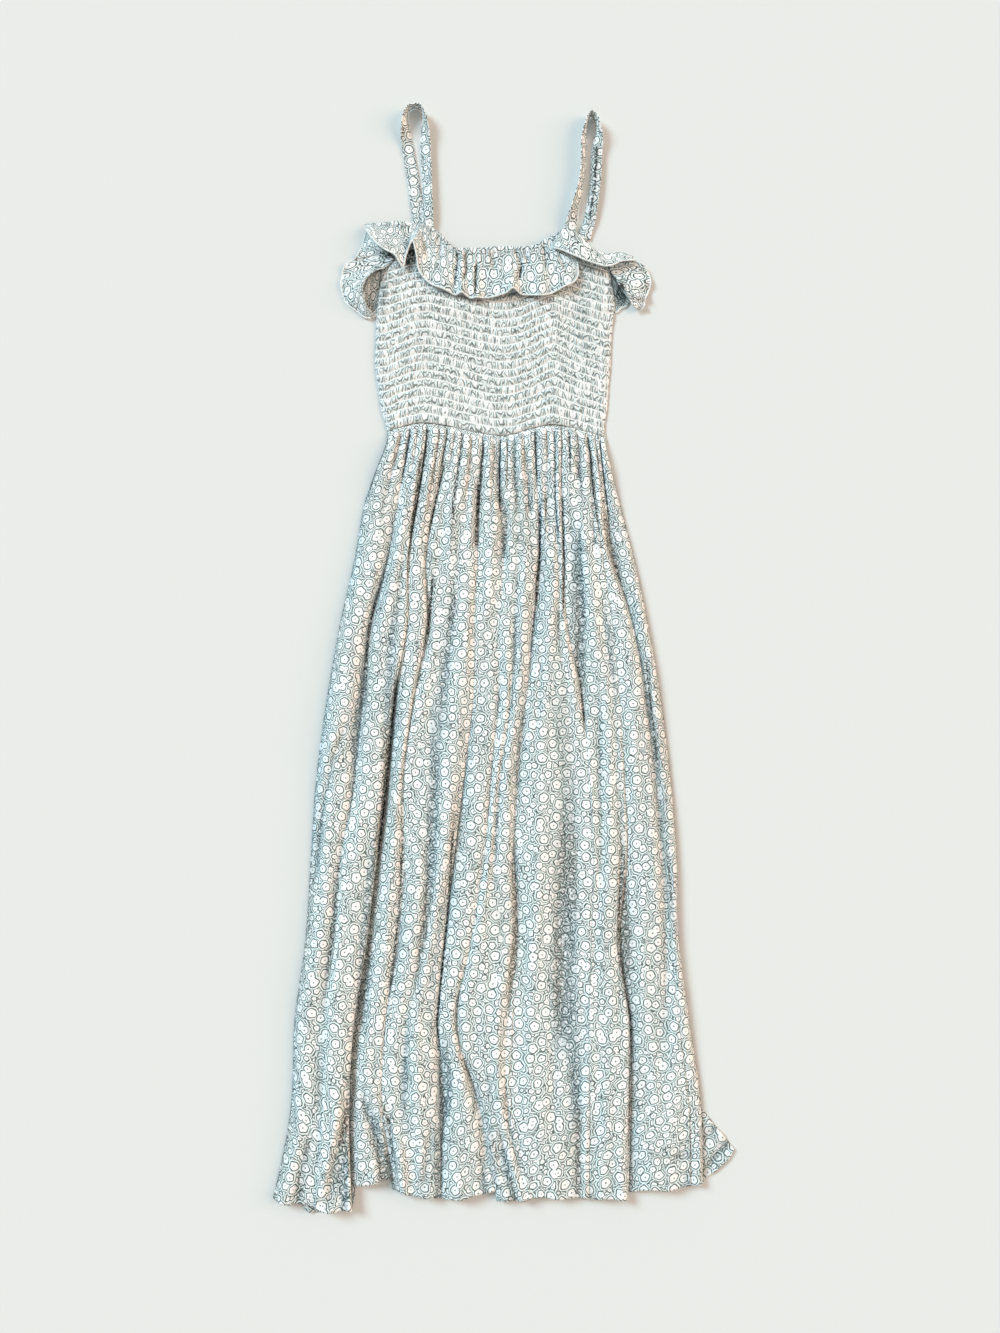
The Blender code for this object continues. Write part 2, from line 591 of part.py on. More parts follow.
def ruffle(name, sections, steps, rows, lift, floor, material, collection):
    """Ruffle between a sewn edge and a free edge, waved from section to section.

    steps: columns from one section to the next. rows: rows from the sewn edge to the free one.
    lift: above 1 the cloth stays low by the seam and rises late, below 1 it is rounded.
    floor: the underside stays above this height.
    """
    marks = np.arange(len(sections), dtype=float)
    at = np.linspace(0, marks[-1], steps * (len(sections) - 1) + 1)
    sewn = smooth_read(marks, read_columns(sections, SECTION_COLUMNS, "sewn"), at)
    free = smooth_read(marks, read_columns(sections, SECTION_COLUMNS, "free"), at)
    share = np.linspace(0, 1, rows + 1)[:, None, None]
    outer = sewn + share * (free - sewn)
    outer[..., 2] = sewn[:, 2] + share[..., 0] ** lift * (free[:, 2] - sewn[:, 2])
    inner = lowered(outer, wall_depth(outer))
    inner[..., 2] = np.maximum(inner[..., 2], np.minimum(floor, outer[..., 2] - CLOTH))
    return wall(name, outer, inner, material, collection)


def strap(name, sections, material, collection):
    """Flat band swept along its middle line and turned on edge where the loop bends."""
    table = np.array(sections, float)
    placing = [STRAP_COLUMNS.index(axis) for axis in ("x", "y", "z")]
    steps = np.linalg.norm(np.diff(table[:, placing], axis=0), axis=1)
    marks = np.concatenate([[0.0], np.cumsum(steps)])
    read = smooth_read(marks, table, np.linspace(0, marks[-1], STRAP_SECTIONS))
    middle = read[:, placing]
    roll = np.radians(read[:, STRAP_COLUMNS.index("roll")])
    crease = read[:, STRAP_COLUMNS.index("crease")]
    forward = np.gradient(middle, axis=0)
    forward[:, 2] = 0.0
    forward /= np.linalg.norm(forward, axis=1)[:, None]
    up = np.array([0.0, 0.0, 1.0])
    side = np.cross(forward, up)
    across = side * np.cos(roll)[:, None] + up * np.sin(roll)[:, None]
    normal = np.cross(across, forward)
    half = STRAP_WIDTH / 2 * np.array([-1.0, 0.0, 1.0])
    line = middle[:, None] + across[:, None] * half[None, :, None]
    line[:, 1] += normal * crease[:, None]
    outer = line + normal[:, None] * STRAP_THICK / 2
    inner = line - normal[:, None] * STRAP_THICK / 2
    lowest = np.minimum(outer[..., 2], inner[..., 2]).min(axis=1)
    clear_of_floor = np.maximum(STRAP_FLOOR - lowest, 0)[:, None]
    outer[..., 2] += clear_of_floor
    inner[..., 2] += clear_of_floor
    return wall(name, outer, inner, material, collection)


def build():
    """All pieces of the dress, in one collection."""
    for item in list(bpy.data.objects):
        bpy.data.objects.remove(item)
    collection = bpy.data.collections.new("maxi_dress")
    bpy.context.scene.collection.children.link(collection)
    skirt_front(fabric("skirt front cloth", SAGE), collection)
    skirt_back(fabric("skirt back cloth", SAGE_DARK), collection)
    bodice_front(fabric("shirred front cloth", SAGE), collection)
    bodice_back(fabric("shirred back cloth", SAGE_DARK), collection)
    over_plain_top = FRONT_UNDER + RUFFLE_STEP + CLOTH + SEAM_GAP
    over_shirring = over_plain_top + BODICE_CROWN + PUFF_RISE
    ruffle("ruffle_front", RUFFLE_FRONT, steps=2, rows=5, lift=1.4, floor=over_shirring,
           material=fabric("front ruffle cloth", SAGE), collection=collection)
    ruffle("ruffle_right_top", RUFFLE_RIGHT_TOP, steps=2, rows=3, lift=1.2, floor=over_shirring,
           material=fabric("right ruffle fold cloth", SAGE), collection=collection)
    ruffle("ruffle_left_side", RUFFLE_LEFT_SIDE, steps=2, rows=4, lift=1.6, floor=over_plain_top,
           material=fabric("left ruffle cloth", SAGE), collection=collection)
    ruffle("ruffle_right_side", RUFFLE_RIGHT_SIDE, steps=2, rows=4, lift=1.6, floor=over_plain_top,
           material=fabric("right ruffle cloth", SAGE), collection=collection)
    ruffle("ruffle_back", RUFFLE_BACK, steps=1, rows=1, lift=1.0, floor=0.0,
           material=fabric("back ruffle cloth", SAGE_DARK), collection=collection)
    strap("strap_left", STRAP_LEFT, fabric("left strap cloth", SAGE), collection)
    strap("strap_right", STRAP_RIGHT, fabric("right strap cloth", SAGE), collection)


build()
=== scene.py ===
import math

import bpy
import numpy as np
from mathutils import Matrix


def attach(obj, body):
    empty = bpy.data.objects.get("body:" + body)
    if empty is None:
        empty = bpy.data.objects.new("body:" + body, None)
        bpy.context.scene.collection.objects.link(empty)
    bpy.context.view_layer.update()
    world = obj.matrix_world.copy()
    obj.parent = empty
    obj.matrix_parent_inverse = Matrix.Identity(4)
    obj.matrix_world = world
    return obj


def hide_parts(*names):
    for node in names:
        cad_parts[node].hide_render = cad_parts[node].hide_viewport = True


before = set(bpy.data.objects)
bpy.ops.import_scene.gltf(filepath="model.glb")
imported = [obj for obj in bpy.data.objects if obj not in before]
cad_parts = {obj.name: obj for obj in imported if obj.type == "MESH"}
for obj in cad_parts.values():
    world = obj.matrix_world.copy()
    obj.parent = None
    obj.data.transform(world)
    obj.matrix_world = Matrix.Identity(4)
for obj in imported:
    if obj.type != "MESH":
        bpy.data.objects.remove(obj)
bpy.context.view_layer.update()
print("packed dress loaded,", len(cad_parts), "solids")

mm = 0.001  # every table below is in millimetres, meshes are in metres


def linearColour(hexText):
    # sRGB hex to the linear colour of a node: (c / 12.92) in the darks, ((c + 0.055) / 1.055) ^ 2.4 above
    channels = [int(hexText[i:i + 2], 16) / 255 for i in (1, 3, 5)]
    return (*[c / 12.92 if c <= 0.04045 else ((c + 0.055) / 1.055) ** 2.4 for c in channels], 1.0)


def addNode(tree, kind, inputs=None, **settings):
    # one node with its settings; an input is a plain value, a hex colour, a socket, or a node's first live output
    node = tree.nodes.new(kind if kind.startswith("Node") else "ShaderNode" + kind)
    for name, value in settings.items():
        setattr(node, name, value)
    for socket, value in (inputs or {}).items():
        if isinstance(value, bpy.types.Node):
            value = next(output for output in value.outputs if output.enabled)
        if isinstance(value, bpy.types.NodeSocket):
            tree.links.new(value, node.inputs[socket])
        else:
            node.inputs[socket].default_value = linearColour(value) if isinstance(value, str) else value
    return node


def smoothRead(marks, values, at):
    # cubic through the marks, sloped at each mark as its neighbours are
    marks, values = np.asarray(marks, float), np.asarray(values, float)
    at = np.clip(np.asarray(at, float), marks[0], marks[-1])
    slopes = np.gradient(values, marks, axis=0)
    index = np.clip(np.searchsorted(marks, at) - 1, 0, len(marks) - 2)
    span = marks[index + 1] - marks[index]
    t = (at - marks[index]) / span
    if values.ndim > 1:
        t, span = t[..., None], span[..., None]
    return (values[index] * (2 * t**3 - 3 * t**2 + 1) + slopes[index] * span * (t**3 - 2 * t**2 + t)
            + values[index + 1] * (3 * t**2 - 2 * t**3) + slopes[index + 1] * span * (t**3 - t**2))


def softRamp(value, start, end):
    # 0 before start, 1 after end, 3t^2 - 2t^3 between
    t = np.clip((value - start) / (end - start), 0, 1)
    return t * t * (3 - 2 * t)


def unevenness(x, y, seed, across, along, waves=6):
    # sum of slanted sine waves with fixed phases, from about -1 to 1; across and along are its wavelengths
    dice = np.random.default_rng(seed)
    total = 0
    for a, b, c in dice.uniform((0.6, -1.2, 0), (1.7, 1.2, 2 * math.pi), (waves, 3)):
        total = total + np.sin(2 * math.pi * (a * x / across + b * y / along) + c)
    return total / waves * 1.5


def clothLengths(points):
    # length of cloth across each row and down the rows, summed from the first column and the first row
    across = np.linalg.norm(np.diff(points, axis=1), axis=2)
    down = np.linalg.norm(np.diff(points, axis=0), axis=2).mean(axis=1)
    u = np.concatenate([np.zeros((len(points), 1)), np.cumsum(across, axis=1)], axis=1)
    v = np.concatenate([[0], np.cumsum(down)])
    return u, np.repeat(v[:, None], points.shape[1], axis=1)


def gridPiece(name, points, uv, material, thick=0.0, rows=None, hollow=None, closed=False):
    # points is rows x columns x 3; each four neighbours make a face, and the face is turned to look up
    corner = np.arange(points.shape[0] * points.shape[1]).reshape(points.shape[:2])
    if closed:
        corner = np.concatenate([corner, corner[:, :1]], axis=1)
    faces = np.stack([corner[:-1, :-1], corner[:-1, 1:], corner[1:, 1:], corner[1:, :-1]], axis=-1).reshape(-1, 4)
    a, b, c = (points.reshape(-1, 3)[faces[:, k]] for k in (0, 1, 3))
    if not closed and np.cross(b - a, c - a)[:, 2].sum() < 0:
        faces = faces[:, ::-1]
    mesh = bpy.data.meshes.new(name)
    mesh.from_pydata(points.reshape(-1, 3) * mm, [], faces)
    for mapName, values in (("cloth", uv), ("rows", rows)):
        if values is not None:
            layer = mesh.uv_layers.new(name=mapName)
            layer.data.foreach_set("uv", values.reshape(-1, 2)[faces.ravel()].astype(np.float32).ravel())
    if hollow is not None:
        depth = mesh.attributes.new("hollow", "FLOAT", "POINT")
        depth.data.foreach_set("value", np.clip(hollow, 0, 1).astype(np.float32).ravel())
    mesh.materials.append(material)
    mesh.shade_smooth()
    piece = bpy.data.objects.new(name, mesh)
    bpy.context.scene.collection.objects.link(piece)
    if thick:
        shell = piece.modifiers.new("cloth thickness", "SOLIDIFY")
        shell.thickness = thick * mm
        shell.offset = -1
    return piece


def dress(piece, slotName, *nodes):
    # rides on the one body and stands for the solids it covers
    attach(piece, "root")
    if nodes:
        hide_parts(*nodes)
    return piece


photoCamera = {
    "place": (-0.0042, -0.0979, 1.135),  # just above the middle of the dress, in metres
    "tiltDegrees": 3.5,                  # from straight down towards the straps
    "lens": 27.09,
    "sensor": 36.0,
}
cameraData = bpy.data.cameras.new("camera")
cameraData.lens, cameraData.sensor_width = photoCamera["lens"], photoCamera["sensor"]
camera = bpy.data.objects.new("camera", cameraData)
camera.location = photoCamera["place"]
camera.rotation_euler = (math.radians(photoCamera["tiltDegrees"]), 0, 0)
bpy.context.scene.collection.objects.link(camera)
bpy.context.scene.camera = camera


# Ditsy floral print: white flowers with a small grey eye and thin contour lines round them, line-drawn leaves
# and stems, on pale sage. Sizes are in millimetres of cloth; pitch is the distance between flowers of one kind.
# The real lines are about 0.4 mm wide and are drawn at 1.1 mm, so that they show in the picture.
floralPrint = {
    "ground": "#9fbcb8",
    "groundLight": "#d4e4e3",
    "groundScale": 0.16,                             # per mm, as the other scales
    "ringPale": "#ecf5f5",
    "line": "#284342",
    "petal": "#fdfefe",
    "eye": "#61756f",
    "leaf": "#f7fbfa",
    "wobble": (0.12, 2.4),                           # scale and reach of the drawing hand's unevenness
    "contour": {"pitch": 2.7, "reach": 3.3, "first": 0.6, "line": (0.74, 0.44), "soft": 0.2},
    "petalEdge": (0.25, -0.05),                      # from ground to petal, outside the flower's edge
    "eyeEdge": (0.25, -0.1),                         # the same, round the eye
    "petals": 5.0,
    "flowers": (
        {"pitch": 6.2, "random": 0.9, "radius": (1.4, 2.2), "share": 0.92, "lobe": 0.06, "eye": 0.3},
        {"pitch": 9.6, "random": 0.9, "radius": (2.3, 3.5), "share": 0.8, "lobe": 0.08, "eye": 0.5},
        {"pitch": 15.5, "random": 0.85, "radius": (3.5, 4.9), "share": 0.9, "lobe": 0.06, "eye": 0.75},
    ),
    "leaves": {"pitch": 5.2, "length": 3.5, "width": 1.5, "line": 0.28, "rib": 0.16},
    "stems": {"pitch": 14.0, "period": 0.06, "line": 0.3},
}


def addFlowers(tree, cloth, kind, colour):
    # one flower a cell. Its edge is r(a) = radius * (1 + lobe * cos(5a + turn)); petal colour inside it,
    # contour lines at even distances outside it, and an eye in its middle
    contour, petalEdge, eyeEdge = floralPrint["contour"], floralPrint["petalEdge"], floralPrint["eyeEdge"]
    scaled = addNode(tree, "VectorMath", {0: cloth, 3: 1 / kind["pitch"]}, operation="SCALE")
    cell = addNode(tree, "TexVoronoi", {"Vector": scaled, "Scale": 1.0, "Randomness": kind["random"]},
                   voronoi_dimensions="2D")
    offset = addNode(tree, "VectorMath", {0: scaled, 1: cell.outputs["Position"]}, operation="SUBTRACT")
    inMm = addNode(tree, "VectorMath", {0: offset, 3: kind["pitch"]}, operation="SCALE")
    radius = addNode(tree, "VectorMath", {0: inMm}, operation="LENGTH")
    x, y, _ = addNode(tree, "SeparateXYZ", {0: inMm}).outputs
    sizeChance, turnChance, shareChance = addNode(tree, "SeparateColor", {0: cell.outputs["Color"]}).outputs
    angle = addNode(tree, "Math", {0: y, 1: x}, operation="ARCTAN2")
    turn = addNode(tree, "Math", {0: turnChance, 1: math.tau}, operation="MULTIPLY")
    wave = addNode(tree, "Math", {0: angle, 1: floralPrint["petals"], 2: turn}, operation="MULTIPLY_ADD")
    lobes = addNode(tree, "Math", {0: wave}, operation="COSINE")
    shape = addNode(tree, "Math", {0: lobes, 1: kind["lobe"], 2: 1.0}, operation="MULTIPLY_ADD")
    size = addNode(tree, "MapRange", {"Value": sizeChance, "To Min": kind["radius"][0], "To Max": kind["radius"][1]})
    reach = addNode(tree, "Math", {0: shape, 1: size}, operation="MULTIPLY")
    outside = addNode(tree, "Math", {0: radius, 1: reach}, operation="SUBTRACT")
    present = addNode(tree, "Math", {0: shareChance, 1: kind["share"]}, operation="LESS_THAN")
    patch = addNode(tree, "MapRange", {"Value": outside, "From Min": contour["reach"] + contour["soft"],
                                       "From Max": contour["reach"] - contour["soft"]})
    folded = addNode(tree, "Math", {0: outside, 1: contour["first"]}, operation="SUBTRACT")
    folded = addNode(tree, "Math", {0: folded, 1: contour["pitch"] / 2}, operation="PINGPONG")
    ring = addNode(tree, "MapRange", {"Value": folded, "From Min": contour["line"][0], "From Max": contour["line"][1]})
    ring = addNode(tree, "Math", {0: ring, 1: patch}, operation="MULTIPLY")
    petal = addNode(tree, "MapRange", {"Value": outside, "From Min": petalEdge[0], "From Max": petalEdge[1]})
    eye = addNode(tree, "MapRange", {"Value": radius, "From Min": kind["eye"] + eyeEdge[0],
                                     "From Max": kind["eye"] + eyeEdge[1]})
    for mask, tint in ((patch, "ringPale"), (ring, "line"), (petal, "petal"), (eye, "eye")):
        shown = addNode(tree, "Math", {0: mask, 1: present}, operation="MULTIPLY")
        colour = addNode(tree, "Mix", {0: shown, 6: colour, 7: floralPrint[tint]}, data_type="RGBA")
    return colour


def makePrint():
    # node group: cloth place in millimetres in, colour out
    tree = bpy.data.node_groups.new("ditsy floral print", "ShaderNodeTree")
    tree.interface.new_socket("Cloth", in_out="INPUT", socket_type="NodeSocketVector")
    tree.interface.new_socket("Colour", in_out="OUTPUT", socket_type="NodeSocketColor")
    cloth = addNode(tree, "NodeGroupInput").outputs[0]
    scale, reach = floralPrint["wobble"]
    wobble = addNode(tree, "TexNoise", {"Vector": cloth, "Scale": scale, "Detail": 1.0}, noise_dimensions="2D")
    moved = addNode(tree, "VectorMath", {0: wobble.outputs["Color"], 1: (reach, reach, 0.0), 2: cloth},
                    operation="MULTIPLY_ADD")

    # ground in two close tones, as a watery dye
    tone = addNode(tree, "TexNoise", {"Vector": cloth, "Scale": floralPrint["groundScale"], "Detail": 2.0},
                   noise_dimensions="2D")
    colour = addNode(tree, "Mix", {0: tone, 6: floralPrint["ground"], 7: floralPrint["groundLight"]},
                     data_type="RGBA")

    # stems, dark ones and then pale ones: level lines of a smooth noise, one each period of its value
    stems = floralPrint["stems"]
    for tint, crowd, detail, share, dimensions in (("line", 1.0, 0.6, 2.0, "2D"), ("petal", 1.3, 0.4, 1.6, "3D")):
        level = addNode(tree, "TexNoise", {"Vector": moved, "Scale": crowd / stems["pitch"], "Detail": detail},
                        noise_dimensions=dimensions)
        folded = addNode(tree, "Math", {0: level, 1: stems["period"] / share}, operation="PINGPONG")
        line = addNode(tree, "MapRange", {"Value": folded, "From Min": stems["line"] * stems["period"],
                                          "From Max": 0.0})
        colour = addNode(tree, "Mix", {0: line, 6: colour, 7: floralPrint[tint]}, data_type="RGBA")

    # leaves: an ellipse a cell, turned by chance: pale inside, a line round it and one along its middle
    leaves = floralPrint["leaves"]
    scaled = addNode(tree, "VectorMath", {0: moved, 3: 1 / leaves["pitch"]}, operation="SCALE")
    cell = addNode(tree, "TexVoronoi", {"Vector": scaled, "Scale": 1.0, "Randomness": 1.0}, voronoi_dimensions="2D")
    offset = addNode(tree, "VectorMath", {0: scaled, 1: cell.outputs["Position"]}, operation="SUBTRACT")
    chance = addNode(tree, "SeparateColor", {0: cell.outputs["Color"]})
    turn = addNode(tree, "Math", {0: chance, 1: math.tau}, operation="MULTIPLY")
    turned = addNode(tree, "VectorRotate", {"Vector": offset, "Angle": turn}, rotation_type="Z_AXIS")
    stretch = (leaves["pitch"] / leaves["length"], leaves["pitch"] / leaves["width"], 0.0)
    squeezed = addNode(tree, "VectorMath", {0: turned, 1: stretch}, operation="MULTIPLY")
    fromMiddle = addNode(tree, "VectorMath", {0: squeezed}, operation="LENGTH")
    inner = addNode(tree, "Math", {0: fromMiddle, 1: 1.0}, operation="LESS_THAN")
    colour = addNode(tree, "Mix", {0: inner, 6: colour, 7: floralPrint["leaf"]}, data_type="RGBA")
    edge = addNode(tree, "Math", {0: fromMiddle, 1: 1.0, 2: leaves["line"]}, operation="COMPARE")
    across = addNode(tree, "SeparateXYZ", {0: squeezed}).outputs[1]
    rib = addNode(tree, "Math", {0: across, 1: 0.0, 2: leaves["rib"]}, operation="COMPARE")
    rib = addNode(tree, "Math", {0: rib, 1: inner}, operation="MULTIPLY")
    lines = addNode(tree, "Math", {0: edge, 1: rib}, operation="MAXIMUM")
    colour = addNode(tree, "Mix", {0: lines, 6: colour, 7: floralPrint["line"]}, data_type="RGBA")

    for kind in floralPrint["flowers"]:
        colour = addFlowers(tree, moved, kind, colour)
    addNode(tree, "NodeGroupOutput", {0: colour})
    return tree


printGroup = makePrint()

# Woven viscose: soft and dull, a slight sheen where it turns away, threads too fine to see.
# The weave is drawn at 0.9 mm, about three times its real size, so that it shows close up.
viscose = {
    "roughness": 0.78,
    "sheen": 0.2,
    "sheenRoughness": 0.5,
    "ior": 1.47,
    "weaveMm": 0.9,
    "weaveShare": 0.3,
    "crinkleMm": 4.0,
    "reliefStrength": 0.3,
    "reliefMetres": 0.0006,
    # painted shade tints for the folds: brown as under the warm light, blue as under the cool light
    "paintedShadeBrown": "#827763",
    "paintedShadeBlue": "#6fa0b4",
    # painted shadow: the colour of the deepest folds
    "paintedFoldShadow": "#1f2523",
    "deepFrom": (0.4, 0.8),       # hollow at which the painted fold shadow starts, and where it is darkest
    "fleckScale": 0.33,           # per mm
    "fleckMask": (0.34, 0.56, 0.35),  # noise at which flecks start and are full, and the least shade left
    "streakMm": (38.0, 260.0),    # across and along the cloth
    "streakMask": (0.42, 0.56),
    "shaded": "#64797b",          # the back panel lies in the shade of the front
    "paleEdge": "#f4f8f7",        # a rolled hem shows its thread and the print's paler back
}
# Shirring: the same cloth bunched up by rows of elastic thread, so it looks paler, with painted shade in its puckers
shirring = {
    "bunched": (0.25, "#f3f7f6"),
    # colour of the painted shade in the puckers
    "pucker": "#3f5150",
    "thread": "#fcfdfc",
    "threadHalf": (0.105, 0.05),  # in rows: where the pale thread fades out, and where it is full
    "wornScale": 0.11,
    "wornMask": (0.35, 0.6, 0.35),
    "deepFrom": (0.8, 1.0),
}


def printedViscose(name, shade=0.0, pale=0.0, shirred=False):
    # hollow is how deep a point lies in a fold or pucker, 0 to 1: the cloth's colour is darkened there as painted
    # shade
    material = bpy.data.materials.new(name)
    material.use_nodes = True
    tree = material.node_tree
    shader = tree.nodes["Principled BSDF"]
    uv = addNode(tree, "UVMap", uv_map="cloth")
    place = addNode(tree, "VectorMath", {0: uv, 3: 1 / mm}, operation="SCALE")
    colour = addNode(tree, "Group", {0: place}, node_tree=printGroup)
    hollow = addNode(tree, "Attribute", attribute_name="hollow").outputs["Fac"]
    # flecks of the print catch light in a hollow, so its shade is broken every few millimetres
    start, end, least = viscose["fleckMask"]
    fleck = addNode(tree, "TexNoise", {"Vector": place, "Scale": viscose["fleckScale"], "Detail": 2.0},
                    noise_dimensions="2D")
    fleck = addNode(tree, "MapRange", {"Value": fleck, "From Min": start, "From Max": end, "To Min": least})
    hollow = addNode(tree, "Math", {0: hollow, 1: fleck}, operation="MULTIPLY")
    if shirred:
        # the bunched print goes pale, each pucker is darkened with painted shade, and a pale thread is on every row
        row = addNode(tree, "UVMap", uv_map="rows")
        row = addNode(tree, "SeparateXYZ", {0: row}).outputs[1]
        near = addNode(tree, "Math", {0: row, 1: 0.5}, operation="PINGPONG")
        start, end = shirring["threadHalf"]
        thread = addNode(tree, "MapRange", {"Value": near, "From Min": start, "From Max": end})
        start, end, least = shirring["wornMask"]
        worn = addNode(tree, "TexNoise", {"Vector": place, "Scale": shirring["wornScale"], "Detail": 2.0},
                       noise_dimensions="2D")
        worn = addNode(tree, "MapRange", {"Value": worn, "From Min": start, "From Max": end, "To Min": least})
        thread = addNode(tree, "Math", {0: thread, 1: worn}, operation="MULTIPLY")
        layers = [shirring["bunched"], (hollow, shirring["pucker"]), (thread, shirring["thread"])]
        deepStart, deepEnd = shirring["deepFrom"]
    else:
        # painted shade in the folds, multiplied into the print: tinted blue as from the cool window light or warm
        # brown as from the warm bounce, in broad streaks down the cloth
        across, along = viscose["streakMm"]
        streak = addNode(tree, "VectorMath", {0: place, 1: (1 / across, 1 / along, 0.0)}, operation="MULTIPLY")
        streak = addNode(tree, "TexNoise", {"Vector": streak, "Scale": 1.0, "Detail": 1.0}, noise_dimensions="2D")
        start, end = viscose["streakMask"]
        streak = addNode(tree, "MapRange", {"Value": streak, "From Min": start, "From Max": end})
        tint = addNode(tree, "Mix", {0: streak, 6: viscose["paintedShadeBlue"], 7: viscose["paintedShadeBrown"]}, data_type="RGBA")
        colour = addNode(tree, "Mix", {0: hollow, 6: colour, 7: tint}, data_type="RGBA", blend_type="MULTIPLY")
        layers = []
        deepStart, deepEnd = viscose["deepFrom"]
    # painted shadow: the deepest folds are mixed towards near-black
    deep = addNode(tree, "MapRange", {"Value": hollow, "From Min": deepStart, "From Max": deepEnd})
    layers += [(deep, viscose["paintedFoldShadow"]), (shade, viscose["shaded"]), (pale, viscose["paleEdge"])]
    for amount, tint in layers:
        if amount != 0.0:
            colour = addNode(tree, "Mix", {0: amount, 6: colour, 7: tint}, data_type="RGBA")
    weave = addNode(tree, "TexNoise", {"Vector": place, "Scale": 1 / viscose["weaveMm"], "Detail": 2.0},
                    noise_dimensions="2D")
    crinkle = addNode(tree, "TexNoise", {"Vector": place, "Scale": 1 / viscose["crinkleMm"], "Detail": 3.0},
                      noise_dimensions="2D")
    relief = addNode(tree, "Math", {0: weave, 1: viscose["weaveShare"], 2: crinkle}, operation="MULTIPLY_ADD")
    bump = addNode(tree, "Bump", {"Height": relief, "Strength": viscose["reliefStrength"],
                                  "Distance": viscose["reliefMetres"]})
    tree.links.new(colour.outputs[2], shader.inputs["Base Color"])
    tree.links.new(bump.outputs[0], shader.inputs["Normal"])
    for socket, value in (("Roughness", "roughness"), ("Sheen Weight", "sheen"),
                          ("Sheen Roughness", "sheenRoughness"), ("IOR", "ior")):
        shader.inputs[socket].default_value = viscose[value]
    return material


skirtCloth = printedViscose("printed viscose")
backCloth = printedViscose("printed viscose, back panel", shade=0.12)
shirredCloth = printedViscose("shirred viscose", shirred=True)
ruffleCloth = printedViscose("printed viscose, ruffle")
print("print and cloth materials made")


# Front skirt: a wall over the back panel with gathers at the waist and long folds. Lengths are in millimetres;
# "down" is the distance below the waist of each place in the fold lines' tables
skirt = {
    "waistY": 243.0,
    "length": 837.0,
    "frontUnder": 1.5,              # underside of the front over the floor
    "wall": 1.2,                    # as in the solids
    "thick": 0.7,                   # of the cloth that shows
    "gatherRise": 4.2,
    "gatherLengths": (88.0, 130.0, 66.0, 112.0, 150.0, 96.0, 58.0),
    "gatherHeights": (1.0, 0.7, 1.15, 0.85, 1.2, 0.6),
    # darkness of the painted shade in the slits between gathers, in turn
    "gatherSlitShades": (1.0, 0.5, 0.9, 0.3, 1.0, 0.7, 0.85, 0.45),
    "gatherSlit": 0.42,             # half width of the painted shade between two gathers, as a sine
    "pleatRise": 0.35,              # small pleats inside each gather
    "crowding": 0.09,               # columns stand closer beside the fold lines
    "climbPower": 2.6,
    "fallPower": 3,
    "foldShade": 0.7,
    "foldShadeHalf": (2.0, 1.4),    # to the right and to the left of a fold line
    "softShade": (0.5, 8.0),        # darkness and half width of the shade beside a fold
    "troughShade": (0.6, 0.4, 2.4),  # darkness, and the depths at which it starts and is full
    "swell": 1.5,                   # low waves that carry the gathers on down the skirt
    # uneven ground: height, seed, wavelength across and along; lower down also the rows where it comes in
    "uneven": ((0.9, 3, 44, 520), (0.45, 8, 19, 240)),
    "unevenLow": ((620, 800, 1.0, 51, 40, 110), (380, 560, 1.5, 71, 62, 300)),
    "hemWander": (1.3, 41, 62, 1000),
    "hemTurn": {"wide": 9, "rise": 0.35, "dip": 0.3, "dipHalf": 1.6, "shade": 0.3, "shadeHalf": 1.5},
    "edgeColumns": 9,               # creases fade out over so many columns beside the side edges
    "openSide": (446, 488),         # where the lower right edge comes to lie on the back panel
    "down": (11, 80, 150, 219, 309, 400, 489, 577, 665, 751, 837),
}
